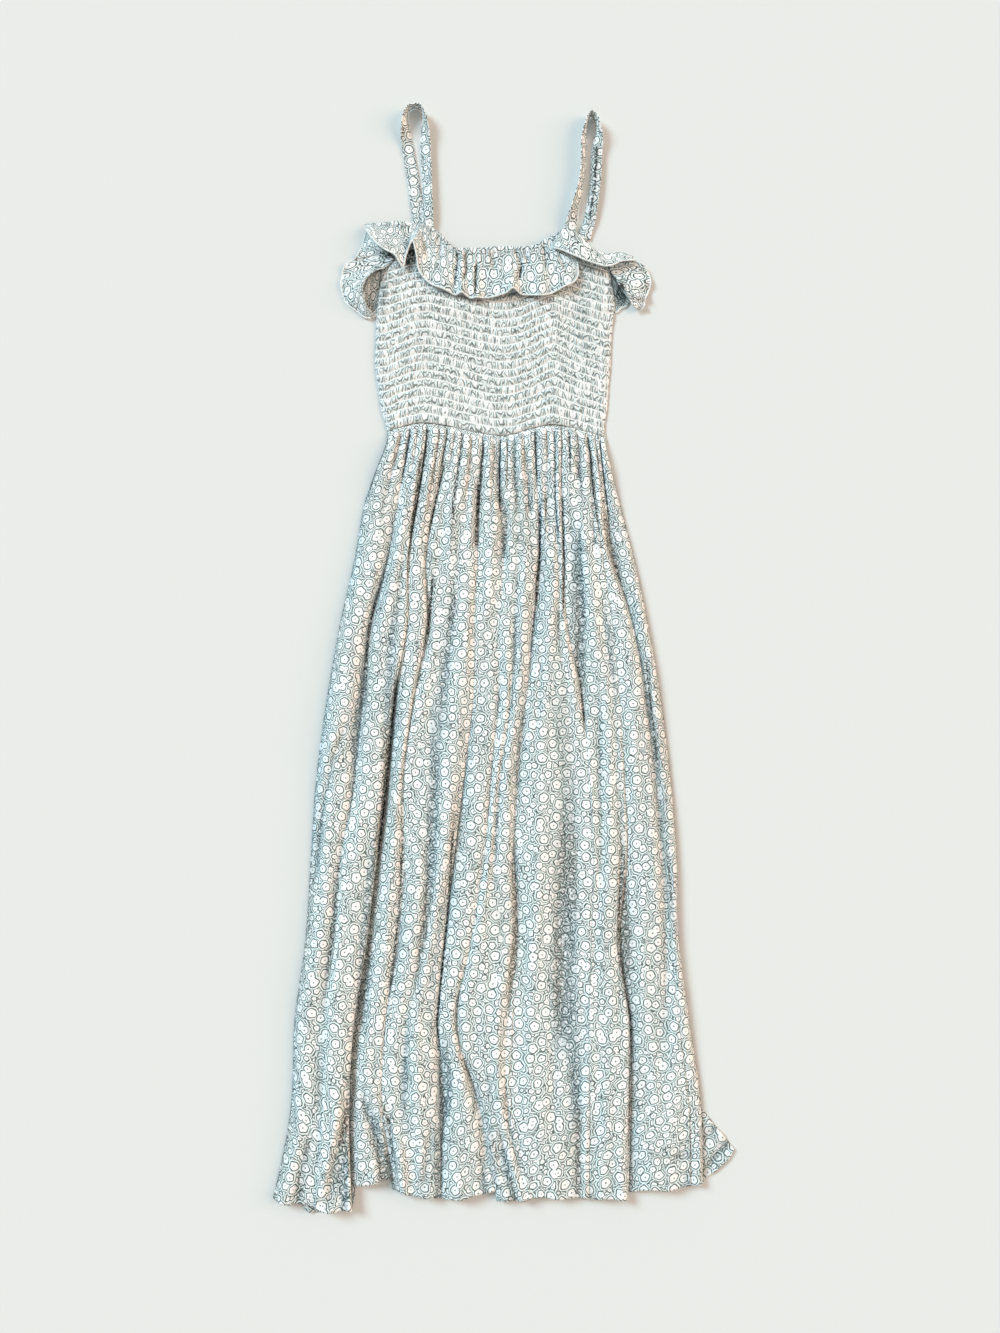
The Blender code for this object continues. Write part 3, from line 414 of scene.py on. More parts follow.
# Fold lines of the front skirt: places across at each distance below the waist, how far each cuts down
# towards the back panel (0 to 1), and how far the ridge beside it leans over it
foldLines = {
    "leftEdge": {"places": (-134, -158, -170, -185, -200, -211, -216, -221, -232, -235, -253),
                 "cuts": (1, 1, 1, 1, 1, 1, 1, 1, 1, 1, 1), "lean": 0.0},
    "leftLong": {"places": (-108, -120, -133, -151, -160, -167, -181, -185, -196, -200, -208),
                 "cuts": (0.5, 0.5, 0.8, 1, 0.9, 0.5, 0.3, 0.1, 0, 0, 0.1), "lean": 0.30},
    "deepLeft": {"places": (-89, -99, -111, -112, -125, -133, -143, -153, -166, -171, -166),
                 "cuts": (0.6, 0.7, 0.6, 0.3, 0.9, 1, 0.9, 0.9, 1, 1, 0.9), "lean": 0.45},
    "notch": {"places": (-65, -78, -89, -87, -102, -113, -111, -118, -131, -134, -122),
              "cuts": (0.6, 0.7, 0.6, 0.8, 0.3, 0.5, 0.6, 0.7, 0.5, 0.5, 0.9), "lean": 0.20},
    "centreLeft": {"places": (-24, -29, -32, -35, -36, -45, -56, -67, -75, -70, -70),
                   "cuts": (0.6, 0.6, 0.3, 0.3, 0.6, 0.8, 0.9, 0.7, 0.5, 1, 0.5), "lean": 0.30},
    "slant": {"places": (-4, -5, 0, -4, -6, -15, -21, -35, -52, -27, -8),
              "cuts": (0.6, 0.7, 0.5, 0.2, 0.35, 0.3, 0.2, 0.2, 0.5, 0.8, 0.8), "lean": 0.10},
    "centre": {"places": (36, 38, 41, 34, 25, 14, 11, 16, 9, 7, 29),
               "cuts": (0.6, 0.6, 0.8, 1, 0.5, 0.7, 0.5, 0.6, 0.5, 0.3, 0.1), "lean": 0.10},
    "centreRight": {"places": (66, 65, 68, 71, 89, 95, 99, 96, 93, 93, 93),
                    "cuts": (0.5, 0.4, 0.5, 0.6, 0.7, 0.3, 0.15, 0.1, 0.15, 0.1, 0.1), "lean": 0.15},
    "stepRight": {"places": (96, 102, 110, 119, 127, 133, 135, 127, 139, 139, 136),
                  "cuts": (0.4, 0.4, 0.3, 0.2, 0.25, 0.5, 0.5, 0.6, 0.9, 0.9, 1), "lean": 0.40},
    "rightLong": {"places": (111, 118, 126, 146, 163, 174, 180, 186, 193, 203, 205),
                  "cuts": (0.5, 0.7, 0.8, 0.8, 0.8, 0.8, 0.8, 0.7, 0.3, 0.1, 0.1), "lean": -0.20},
    "rightEdge": {"places": (118, 133, 149, 163, 178, 188, 194, 195, 206, 217, 219),
                  "cuts": (1, 1, 1, 1, 1, 1, 1, 1, 1, 1, 1), "lean": 0.0},
}
# between two fold lines: gathers, columns of the grid, crest's height, its place across, hem at the left and right
panelColumns = ("gathers", "columns", "crest", "peak", "hemLeft", "hemRight")
skirtPanels = (
    (2, 32, 9.0, 0.62, -613, -620), (2, 34, 12.5, 0.78, -621, -623), (2, 30, 10.0, 0.70, -597, -588),
    (4, 46, 11.0, 0.76, -603, -612), (2, 30, 9.0, 0.60, -612, -601), (4, 42, 9.5, 0.60, -614, -609),
    (3, 46, 8.0, 0.55, -609, -610), (3, 36, 9.5, 0.80, -610, -611), (2, 34, 8.5, 0.45, -603, -597),
    (1, 18, 6.0, 0.45, -597, -594),
)
# how much of its crest each fold has at each distance below the waist
crestShare = (0.5, 0.7, 0.85, 0.95, 1, 1, 1, 0.95, 0.95, 1, 0.9)
waistSeam = ((-134, 241), (-119, 246), (-95, 251), (-67, 248), (-39, 242), (5, 237), (30, 244),
             (52, 249), (76, 246), (96, 241), (118, 234))

# Smaller creases: depth, width and lip (share of the depth that stands up beside it on the left),
# then the places (x, y) that the crease runs through
creases = {
    "thinLeft": (2.6, 4.0, 0.5, ((-172, -66), (-178, -100), (-191, -130), (-201, -188), (-206, -226), (-216, -300))),
    "brownLong": (1.6, 6.0, 0.4, ((-42, 232), (-51, 192), (-48, 156), (-57, 46), (-72, -134), (-88, -323),
                                  (-102, -454))),
    "slit": (3.4, 3.2, 0.6, ((-29, 184), (-29, 173), (-31, 138), (-32, 100))),
    "bluePocket": (3.0, 5.5, 0.4, ((-4, 237), (-8, 217), (-5, 164), (2, 143), (0, 86))),
    "middleOne": (2.2, 4.0, 0.4, ((10, 237), (16, 163), (24, 78))),
    "middleTwo": (2.0, 3.6, 0.4, ((25, 229), (28, 186), (31, 133))),
    "middleThree": (1.8, 3.6, 0.4, ((47, 199), (51, 151), (53, 101))),
    "besideCentre": (1.8, 4.0, 0.3, ((44, 0), (42, -32), (41, -55), (36, -116))),
    "longRight": (2.2, 5.0, 0.4, ((85, 140), (89, 26), (85, -29), (90, -62), (92, -105))),
    "strandRight": (2.0, 3.6, 0.4, ((112, 156), (118, 121), (123, 100), (130, 68))),
    "shortLeft": (1.8, 3.0, 0.2, ((-115, 243), (-123, 204))),
    "shortRight": (1.8, 3.0, 0.2, ((78, 243), (88, 180))),
    "shortFarRight": (1.6, 3.0, 0.2, ((95, 243), (102, 165))),
    "softLeft": (1.7, 8.0, 0.6, ((-24, 44), (-23, -66), (-26, -188))),
    "softRight": (1.7, 8.0, 0.6, ((17, 44), (17, -66), (15, -188))),
    "blueBandHip": (2.0, 9.0, 0.5, ((-150, -35), (-154, -55), (-167, -103), (-182, -150))),
    "blueBandHem": (2.0, 9.0, 0.4, ((-166, -480), (-172, -519), (-180, -573), (-189, -628))),
    "blueBandKnee": (1.8, 7.0, 0.4, ((-78, -454), (-80, -530), (-82, -612))),
    "blueBandMiddle": (1.8, 9.0, 0.4, ((10, -215), (10, -301), (9, -387))),
    "wideRight": (1.6, 12.0, 0.5, ((52, -150), (56, -260), (58, -380), (60, -500), (64, -612))),
    "wideLeft": (1.5, 11.0, 0.5, ((-138, -180), (-148, -280), (-152, -380), (-150, -470))),
    "outerRight": (1.5, 9.0, 0.5, ((150, -40), (158, -150), (160, -260), (168, -380), (172, -520))),
    "kneeRight": (1.4, 9.0, 0.5, ((112, -180), (114, -300), (116, -420), (114, -560))),
    "hipMiddle": (1.4, 8.0, 0.5, ((60, 60), (54, -40), (56, -140))),
    "tongueFold": (2.6, 4.0, 0.7, ((-169, -490), (-175, -530), (-184, -570), (-191, -605), (-205, -622))),
    "hemCurlHollow": (4.0, 4.6, 0.2, ((-156, -488), (-152, -512), (-137, -552), (-128, -612))),
    "hemCurl": (-4.2, 5.0, 0.0, ((-146, -478), (-142, -500), (-128, -528), (-114, -551), (-109, -615))),
    "hemDentLeft": (1.8, 6.0, 0.5, ((-212, -540), (-222, -575), (-226, -622))),
    "hemDentMiddle": (1.6, 7.0, 0.6, ((-46, -530), (-44, -570), (-38, -612))),
    "hemDentRight": (1.5, 7.0, 0.5, ((112, -540), (116, -575), (118, -612))),
}
# Slits where two folds of the front meet, darkened with painted shade: depth, width and darkness, then the places (x,
# y)
slits = {
    "leftLong": (1.6, 2.0, 0.85, ((-135, 86), (-144, 52), (-153, 15), (-155, -52), (-158, -92))),
    "deepLeftTop": (1.6, 1.8, 0.9, ((-92, 222), (-108, 104))),
    "notchTop": (1.6, 1.8, 0.85, ((-65, 215), (-88, 112))),
    "notchWide": (1.8, 2.3, 0.95, ((-79, 86), (-87, -8))),
    "deepLeftLow": (2.0, 2.2, 1.0, ((-118, -10), (-128, -112), (-136, -196), (-143, -270))),
    "strandOne": (1.4, 1.6, 0.7, ((-29, 192), (-30, 116))),
    "pocket": (1.4, 1.8, 0.75, ((5, 154), (0, 86))),
    "strandTwo": (1.2, 1.4, 0.7, ((27, 192), (29, 140))),
    "centre": (2.0, 2.2, 1.0, ((42, 172), (41, 97), (38, 73), (36, 24))),
    "besideCentre": (1.2, 1.5, 0.8, ((48, 170), (48, 133))),
    "centreRight": (1.6, 1.9, 0.9, ((67, 185), (68, 93), (67, 12))),
    "strandThree": (1.4, 1.7, 0.75, ((85, 146), (90, 53), (94, 2))),
    "strandFour": (1.2, 1.5, 0.65, ((101, 168), (103, 100))),
    "tealRight": (1.8, 1.9, 0.8, ((84, -20), (92, -110))),
    "rightLong": (1.6, 1.9, 0.8, ((159, 0), (165, -70), (176, -166))),
    "notchLow": (1.6, 2.0, 0.8, ((-111, -190), (-116, -301), (-130, -420))),
    "centreLeftLow": (1.6, 2.0, 0.9, ((-53, -160), (-63, -312), (-74, -422), (-65, -500))),
    "slantLow": (1.6, 2.2, 0.55, ((-57, -432), (-10, -551), (7, -612))),
    "stepRightLow": (1.8, 2.0, 0.85, ((133, -190), (126, -340), (140, -422), (135, -614))),
    "rightEdgeLow": (1.4, 1.8, 0.7, ((181, -222), (188, -318))),
    "hemNotchCurl": (1.8, 2.6, 0.8, ((-138, -500), (-126, -524), (-123, -551), (-116, -592))),
    "hemBlue": (1.8, 4.0, 0.45, ((-76, -520), (-84, -572), (-89, -612))),
    "hemBrown": (1.6, 3.4, 0.4, ((-34, -480), (-24, -540), (-12, -590))),
    "tongueSlit": (1.6, 2.4, 0.6, ((-172, -560), (-186, -600), (-196, -625))),
}
# creases that run across the skirt: the same, with the places as (y, x)
crossCreases = {
    "rightHemFold": (3.4, 4.0, 0.9, ((-564, 150), (-563, 161), (-567, 190), (-568, 224))),
    "leftHemFold": (1.4, 5.0, 0.5, ((-560, -100), (-552, -80), (-548, -60))),
}


def creaseField(x, y, table):
    # each crease is a soft trough: -depth * e^(-(d/width)^2), d across from its line, with a low lip on its left,
    # and both fade out over the last fifth of its length. Also gives how deep in a crease each point lies
    field, hollow = np.zeros_like(x), np.zeros_like(x)
    for depth, width, lip, line in table.values():
        lineX, lineY = np.array(line, float).T
        order = np.argsort(lineY)
        top, bottom = lineY.max(), lineY.min()
        fade = (top - bottom) / 5
        d = (x - np.interp(y, lineY[order], lineX[order])) / width
        shown = softRamp(y, bottom, bottom + fade) * (1 - softRamp(y, top - fade, top))
        field += depth * shown * (lip * np.exp(-((d + 1.9) / 1.3) ** 2) - np.exp(-d**2))
        hollow += shown * depth / width * np.exp(-(1.6 * d) ** 2)
    return field, hollow


def slitField(x, y):
    # -depth * e^(-(d/width)^2) across each slit, and the darkness of its painted shade in the same form; ends taper
    # over a fifth
    field, dark = np.zeros_like(x), np.zeros_like(x)
    for depth, width, darkness, line in slits.values():
        lineX, lineY = np.array(line[::-1], float).T
        fade = (lineY[-1] - lineY[0]) / 5
        shown = softRamp(y, lineY[0], lineY[0] + fade) * (1 - softRamp(y, lineY[-1] - fade, lineY[-1]))
        near = np.exp(-((x - np.interp(y, lineY, lineX)) / width) ** 2)
        field -= depth * shown * near
        dark = np.maximum(dark, darkness * shown * near)
    return field, dark


def makeSkirtFront():
    # height(x, down) = floor + crest * ridge between two fold lines, where the ridge climbs as 1 - (1 - t)^2.6
    # from the left line to its peak and falls as 1 - t^3 to the right line; then gathers and creases on top
    rows = {name: np.array([row[i] for row in skirtPanels], float) for i, name in enumerate(panelColumns)}
    counts = rows["columns"].astype(int)
    panel = np.repeat(np.arange(len(counts)), counts)
    even = np.concatenate([np.arange(n) / n for n in counts])
    share = even - skirt["crowding"] * np.sin(2 * np.pi * even)
    bend = skirt["crowding"] * np.sin(np.pi * share) * np.where(panel % 2, 1, -1)
    gather = np.repeat(np.cumsum(rows["gathers"]) - rows["gathers"], counts) + (share + bend) * rows["gathers"][panel]
    panel, share = np.append(panel, len(counts) - 1), np.append(share, 1.0)
    gather = np.append(gather, rows["gathers"].sum())

    down = np.concatenate([np.linspace(0, 60, 25), np.linspace(63, 160, 26), np.linspace(167, 820, 80),
                           (824, 827.5, 829.5, 832, 834.5, 837)])
    names = list(foldLines)
    places = np.stack([smoothRead(skirt["down"], foldLines[n]["places"], down) for n in names], axis=1)
    cuts = np.clip(np.stack([smoothRead(skirt["down"], foldLines[n]["cuts"], down) for n in names], axis=1), 0, 1)
    leans = np.array([foldLines[n]["lean"] for n in names])
    d = down[:, None]

    crowd = 1 + 0.5 * softRamp(d, 80, 200)
    across = 1 - (1 - share) ** crowd
    left, right = places[:, panel], places[:, panel + 1]
    x = left + across * (right - left)
    high = 0.5 + (rows["peak"][panel] - 0.5) * softRamp(d, 60, 160)
    leftFloor, rightFloor = 1 - cuts[:, panel], 1 - cuts[:, panel + 1]
    climb = np.clip(across / high, 0, 1)
    fall = np.clip((across - high) / (1 - high), 0, 1)
    ridge = np.where(across < high, leftFloor + (1 - leftFloor) * (1 - (1 - climb) ** skirt["climbPower"]),
                     rightFloor + (1 - rightFloor) * (1 - fall ** skirt["fallPower"]))
    held = 0.15 + 0.85 * softRamp(d, 0, 34)
    low = skirt["frontUnder"] + skirt["wall"]
    z = low + rows["crest"][panel] * smoothRead(skirt["down"], crestShare, down)[:, None] * ridge * held
    # hollow is painted shade: beside each fold line that cuts deep, and in a softer band to the right of it
    halfLeft, halfRight = skirt["foldShadeHalf"]
    softDark, softHalf = skirt["softShade"]
    hollow = skirt["foldShade"] * softRamp(cuts[:, panel], 0.45, 1.0) * np.exp(-((x - left) / halfLeft) ** 2)
    besideRight = softRamp(cuts[:, panel + 1], 0.45, 1.0) * np.exp(-((right - x) / halfRight) ** 2)
    hollow = np.maximum(hollow, skirt["foldShade"] * besideRight)
    wide = softDark * softRamp(cuts[:, panel], 0.35, 1.0) * np.exp(-((x - left) / softHalf) ** 2)
    hollow = np.maximum(hollow, wide) * softRamp(d, 0, 20)

    # gathers: |sin| puffs between sewn-down hollows, with a small pleat inside each
    turn = np.floor(gather).astype(int)
    lengths = np.array(skirt["gatherLengths"])[turn % len(skirt["gatherLengths"])]
    heights = np.array(skirt["gatherHeights"])[turn % len(skirt["gatherHeights"])]
    slit = np.round(gather).astype(int)
    dark = np.array(skirt["gatherSlitShades"])[slit % len(skirt["gatherSlitShades"])]
    slitEnd = np.array(skirt["gatherLengths"])[slit % len(skirt["gatherLengths"])]
    puff = np.abs(np.sin(np.pi * gather)) ** 0.5
    small = skirt["pleatRise"] * np.cos(2 * np.pi * (2.5 * gather + 0.15 * np.sin(2.1 * gather)))
    rise = softRamp(d, -2, 12) * (1 - softRamp(d, 0.25 * lengths, lengths))
    z = z + skirt["gatherRise"] * heights * rise * puff
    z = z + small * softRamp(d, 0, 5) * (1 - softRamp(d, 10, 48)) * puff
    # painted shade in the slit between two gathers
    slitShown = softRamp(d, 1, 8) * (1 - softRamp(d, 0.7 * slitEnd, 1.3 * slitEnd))
    hollow = np.maximum(hollow, dark * slitShown * np.exp(-(np.sin(np.pi * gather) / skirt["gatherSlit"]) ** 2))

    # the top follows the waist seam's wave, the last rows follow the hem
    settle = softRamp(d, 0, 160)
    marks, heights = zip(*waistSeam)
    y = smoothRead(marks, heights, x) * (1 - settle) + skirt["waistY"] * settle - d
    hem = rows["hemLeft"][panel] * (1 - share) + rows["hemRight"][panel] * share
    wander = skirt["hemWander"][0] * unevenness(x, 0 * x, *skirt["hemWander"][1:])
    y = y + softRamp(d, 687, 837) * (hem + wander - (skirt["waistY"] - skirt["length"]))

    lean = leans[panel] * (1 - share) + leans[panel + 1] * share
    x = x + lean * (z - low)
    body = softRamp(d, 12, 60)
    field, inCrease = creaseField(x, y, creases)
    crossField, inCross = creaseField(y, x, crossCreases)
    field, inCrease = field + crossField, inCrease + 0.5 * inCross
    swell = np.sin(np.pi * gather + 0.9 * np.sin(d / 120 + 1.7 * gather) + 0.6 * np.sin(d / 47 + 0.8 * gather))
    field = field + skirt["swell"] * softRamp(d, 50, 150) * swell
    field = field + body * sum(height * unevenness(x, y, *waves) for height, *waves in skirt["uneven"])
    for start, end, height, *waves in skirt["unevenLow"]:
        field = field + height * softRamp(d, start, end) * unevenness(x, y, *waves)
    place = np.arange(len(share)).astype(float)
    fromEdge = softRamp(np.minimum(place, place[::-1]), 0, skirt["edgeColumns"])
    slitDepth, slitDark = slitField(x, y)
    z = np.maximum(z + (field + slitDepth) * fromEdge, low - 0.4)
    # painted shade in the creases, in the troughs of the uneven cloth and in the slits
    hollow = np.maximum(hollow, np.clip(0.8 * inCrease, 0, 1) * fromEdge)
    troughDark, *troughDepths = skirt["troughShade"]
    hollow = np.maximum(hollow, troughDark * softRamp(-field, *troughDepths) * fromEdge * softRamp(d, 10, 50))
    hollow = np.maximum(hollow, slitDark * fromEdge)

    # side edges roll down to the floor; on the lower right the edge lies on the back panel
    roll = np.sqrt(softRamp(place, -1, 7))
    openSide = softRamp(-y[:, -1:], *skirt["openSide"])
    z = skirt["wall"] + (z - skirt["wall"]) * roll
    rightFloorZ = skirt["wall"] + skirt["frontUnder"] * openSide
    z = rightFloorZ + (z - rightFloorZ) * roll[::-1]

    # the hem is turned up: a little thicker over its last 9 mm, with a dip at the stitching and painted shade along it
    fromHem, turned = skirt["length"] - d, skirt["hemTurn"]
    wide = turned["wide"]
    stitched = np.exp(-((fromHem - wide + 0.5) / turned["shadeHalf"]) ** 2)
    hollow = np.maximum(hollow, turned["shade"] * stitched * fromEdge)
    z = z + turned["rise"] * (1 - softRamp(fromHem, wide - 1, wide + 1))
    z = z - turned["dip"] * np.exp(-((fromHem - wide) / turned["dipHalf"]) ** 2)
    points = np.stack([x, y, z], axis=-1)

    u, v = clothLengths(points)
    width = np.maximum(u[:, -1:], u[np.searchsorted(down, 150), -1])
    u = (u / u[:, -1:] - 0.5) * width
    uv = np.stack([u, -v], axis=-1) * mm
    return gridPiece("skirt_front_cloth", points, uv, skirtCloth, skirt["thick"], hollow=hollow)


skirtFront = dress(makeSkirtFront(), "skirt_front", "skirt_front")
print("front of the skirt made")


# Back skirt: flat, wider than the front at two corners of the hem
backSkirt = {
    "sideInset": 6.0,
    "wall": 1.2,
    "thick": 0.7,
    "flare": ((-505, 210), (-512, 211), (-520, 221), (-532, 230), (-544, 241), (-560, 253)),
    "hem": ((-245, -606), (-222, -612), (-215, -628), (-190, -627), (-166, -624), (-160, -592),
            (-131, -582), (-115, -576), (-104, -600), (-73, -607), (-37, -602), (-5, -606), (18, -605),
            (106, -605), (133, -603), (160, -599), (180, -601), (189, -604), (212, -597), (233, -583),
            (247, -571), (253, -560)),
    "cornerWaves": 2.2,
    "tongueWaves": 0.9,      # as a share of the corner's
    "rows": (60, 16, 15),    # down to the corner, beside the corner, and onto the hem
    "columns": 160,
    "shade": (0.7, 0.8),     # in the waves of the corner and of the tongue
}


def makeSkirtBack():
    # straight rows between the two side edges; the last rows bend onto the hem line, and the open corner waves
    flareY, flareX = np.array(backSkirt["flare"], float).T
    hemX, hemY = np.array(backSkirt["hem"], float).T
    top, corner, last = 242, flareY[0], flareY[-1]
    rows = backSkirt["rows"]
    y = np.concatenate([np.linspace(top, corner, rows[0], endpoint=False), np.linspace(corner, last, rows[1])])
    left = smoothRead(skirt["down"], foldLines["leftEdge"]["places"], skirt["waistY"] - y) + backSkirt["sideInset"]
    right = smoothRead(skirt["down"], foldLines["rightEdge"]["places"], skirt["waistY"] - y) - backSkirt["sideInset"]
    right = np.where(y > flareY[0], right, np.interp(-y, -flareY, flareX))
    t = np.linspace(0, 1, backSkirt["columns"])
    x = left[:, None] + t * (right - left)[:, None]
    grid = np.stack([x, np.repeat(y[:, None], len(t), axis=1)], axis=-1)
    lastX = hemX[0] + t * (hemX[-1] - hemX[0])
    last = np.stack([lastX, np.interp(lastX, hemX, hemY)], axis=-1)
    steps = np.linspace(0, 1, rows[2])[1:, None, None]
    grid = np.concatenate([grid, grid[-1] + steps * (last - grid[-1])], axis=0)
    x, y = grid[..., 0], grid[..., 1]
    corner = softRamp(x, 212, 232) * softRamp(-y, 505, 540)
    tongue = softRamp(-x, 150, 168) * softRamp(-y, 592, 612) * (1 - softRamp(-x, 222, 236))
    wave = 0.5 + 0.5 * np.sin((x - y * 0.9) / 4.6)
    tongueWave = 0.5 + 0.5 * np.sin(x / 3.2 + y / 9)
    waves = corner * wave + backSkirt["tongueWaves"] * tongue * tongueWave
    z = backSkirt["wall"] - 0.1 + backSkirt["cornerWaves"] * waves
    # painted shade in the troughs of the corner's and the tongue's waves
    cornerDark, tongueDark = backSkirt["shade"]
    hollow = cornerDark * corner * (1 - wave) ** 3 + tongueDark * tongue * (1 - tongueWave) ** 2
    points = np.stack([x, y, z], axis=-1)
    return gridPiece("skirt_back_cloth", points, grid * mm, backCloth, backSkirt["thick"], hollow=hollow)


skirtBack = dress(makeSkirtBack(), "skirt_back", "skirt_back")
print("back of the skirt made")


# Ruffle, one strip. Each section runs from the sewn edge to the free one, at a crest or a hollow:
# (sewn x, y, z, free x, y, z)
ruffles = {
    "ruffle_front": {
        "lift": 1.4, "rows": 26, "steps": 7, "flutes": 1.0, "material": ruffleCloth,
        "sections": (
            (-161, 484, 7.5, -160, 479, 7.5), (-151, 485, 8.4, -154, 469, 12.4), (-141, 485, 8.9, -146, 458, 15.4),
            (-131, 486, 9.4, -136, 450, 16.4), (-123, 487, 9.9, -125, 444, 16.4), (-115, 486, 10.4, -119, 435, 14.4),
            (-108, 484, 10.4, -115.5, 432, 12.4), (-101, 483, 10.9, -111.5, 446, 14.4),
            (-94, 482, 11.4, -104.5, 459, 18.4), (-86, 480, 11.4, -100, 444, 15.4), (-78, 475, 10.9, -97, 427, 11.4),
            (-71, 470, 10.4, -85, 413, 10.4), (-64, 462, 9.9, -69, 405, 13.9), (-57, 456, 9.4, -56, 399.5, 9.9),
            (-48, 455, 9.4, -48, 400, 15.9), (-40, 455, 9.4, -39, 395.5, 10.4), (-33, 455, 9.4, -31, 395, 14.4),
            (-26, 455, 9.4, -21, 396, 9.4), (-15, 456, 9.4, -10, 397, 11.4), (-2, 457, 9.4, 3, 400, 15.4),
            (8, 457, 9.4, 11, 404, 18.4), (16, 457, 9.4, 20, 400, 10.4), (26, 457, 9.4, 30, 399, 10.9),
            (38, 459, 9.9, 43, 397, 15.4), (49, 466, 9.9, 55, 401, 10.9), (57, 470, 9.9, 70, 408, 13.9),
            (63, 468, 9.9, 81, 414, 11.9), (68, 462, 9.9, 86, 425, 9.9), (74, 457, 9.4, 85, 440, 9.4),
        ),
    },
    "ruffle_right_top": {
        "lift": 1.2, "rows": 16, "steps": 8, "flutes": 0.5, "material": ruffleCloth,
        "sections": (
            (56, 458, 12.0, 57, 453, 13.0), (60, 468, 11.6, 64, 451, 15.0), (66, 475, 11.6, 74, 446, 17.0),
            (76, 476, 11.6, 84, 441, 18.0), (87, 470, 11.6, 93, 437, 18.0), (97, 460, 11.4, 103, 434, 17.0),
            (106, 452, 11.2, 114, 431, 16.0), (115, 448, 11.0, 124, 432, 15.0), (124, 448, 11.0, 134, 437, 14.0),
            (134, 449, 11.0, 142, 438.5, 13.0), (142, 447.5, 11.0, 147, 439.5, 12.0),
            (149, 444.5, 10.5, 151, 440, 11.0),
        ),
    },
    "ruffle_left_side": {
        "lift": 1.6, "rows": 24, "steps": 8, "flutes": 0.8, "material": ruffleCloth,
        "sections": (
            (-146, 470, 4.5, -160, 477, 2.5), (-139, 461, 9.0, -164, 461, 3.0), (-131, 453, 6.6, -172, 445, 4.0),
            (-129, 449, 5.9, -177, 443, 2.0), (-127, 443, 6.2, -184, 436, 4.5), (-136, 433, 8.0, -187, 425, 2.0),
            (-146, 427, 13.0, -188, 415, 4.0), (-156, 418, 14.0, -185, 399, 2.0), (-161, 408, 13.0, -178, 389, 3.5),
            (-160, 396, 11.0, -170, 383, 2.0), (-156, 385, 8.0, -161, 376, 2.9), (-150, 379, 5.0, -153, 374.5, 2.9),
        ),
    },
    "ruffle_right_side": {
        "lift": 1.6, "rows": 22, "steps": 8, "flutes": 0.8, "material": ruffleCloth,
        "sections": (
            (117, 443, 6.0, 146, 444, 5.0), (119, 437, 5.9, 153, 440, 6.0), (122.5, 430, 5.9, 161, 436.5, 7.0),
            (128, 421, 8.0, 168, 427, 3.0), (132, 412, 10.5, 170, 417, 5.0), (138, 404, 11.0, 167.5, 406, 3.0),
            (143, 397, 11.0, 164, 398, 7.0), (146, 392, 9.0, 162.5, 393, 3.5), (149, 387.5, 8.0, 162, 388, 6.0),
            (153, 383, 5.5, 157.5, 383.5, 3.0),
        ),
    },
    "ruffle_back": {
        "lift": 1.0, "rows": 8, "steps": 4, "flutes": 0.0, "material": backCloth,
        "sections": (
            (-157, 424, 1.2, -162, 409, 1.2), (-150, 440, 1.2, -161, 391, 1.2), (-139, 451, 1.2, -154, 377, 1.2),
            (-132, 454, 1.2, -145, 381, 1.2), (-124, 456, 1.2, -140.5, 396, 1.2), (-109, 466, 1.2, -125, 396, 1.2),
            (-93, 472, 1.2, -100, 396, 1.2), (-74, 464, 1.2, -76, 396, 1.2), (-59, 451, 1.2, -58, 396, 1.2),
            (25, 450, 1.2, 25, 396, 1.2), (42, 456, 1.2, 44, 396, 1.2), (56, 464, 1.2, 58, 396, 1.2),
            (73, 469, 1.2, 76, 396, 1.2), (89, 464, 1.2, 96, 396, 1.2), (103, 450, 1.2, 114, 396, 1.2),
            (117, 438, 1.2, 126, 396, 1.2), (125, 431, 1.2, 129.3, 382, 1.2), (137, 409, 1.2, 136, 387, 1.2),
            (147, 394, 1.2, 144, 390, 1.2),
        ),
    },
}


# Painted shade in the deep places under and beside the ruffles: middle (x, y), half sizes across and along, darkness
paintedShadePlaces = {
    "bodice_front": ((-109, 446, 9, 16, 1.6), (-140, 402, 6, 22, 0.9), (126, 410, 5, 16, 0.7), (88, 446, 16, 5, 0.9)),
    "ruffle_front": ((-110, 456, 4, 10, 0.8), (-130, 452, 5, 4, 0.4)),
    "ruffle_left_side": ((-147, 402, 8, 24, 1.5), (-134, 448, 10, 6, 1.1)),
    "ruffle_right_side": ((135, 405, 6, 10, 1.5), (136, 441, 14, 3.5, 1.2)),
    "ruffle_right_top": ((62, 458, 4, 8, 0.4),),
    "ruffle_back": ((136, 404, 9, 16, 1.5), (-150, 390, 12, 10, 0.8)),
}


def shadeOf(name, x, y):
    # darkness * e^(-((x - middle) / half)^2 - the same along y), the largest of the piece's places
    shade = np.zeros_like(x)
    for middleX, middleY, halfX, halfY, darkness in paintedShadePlaces.get(name, ()):
        near = np.exp(-((x - middleX) / halfX) ** 2 - ((y - middleY) / halfY) ** 2)
        shade = np.maximum(shade, darkness * near)
    return shade


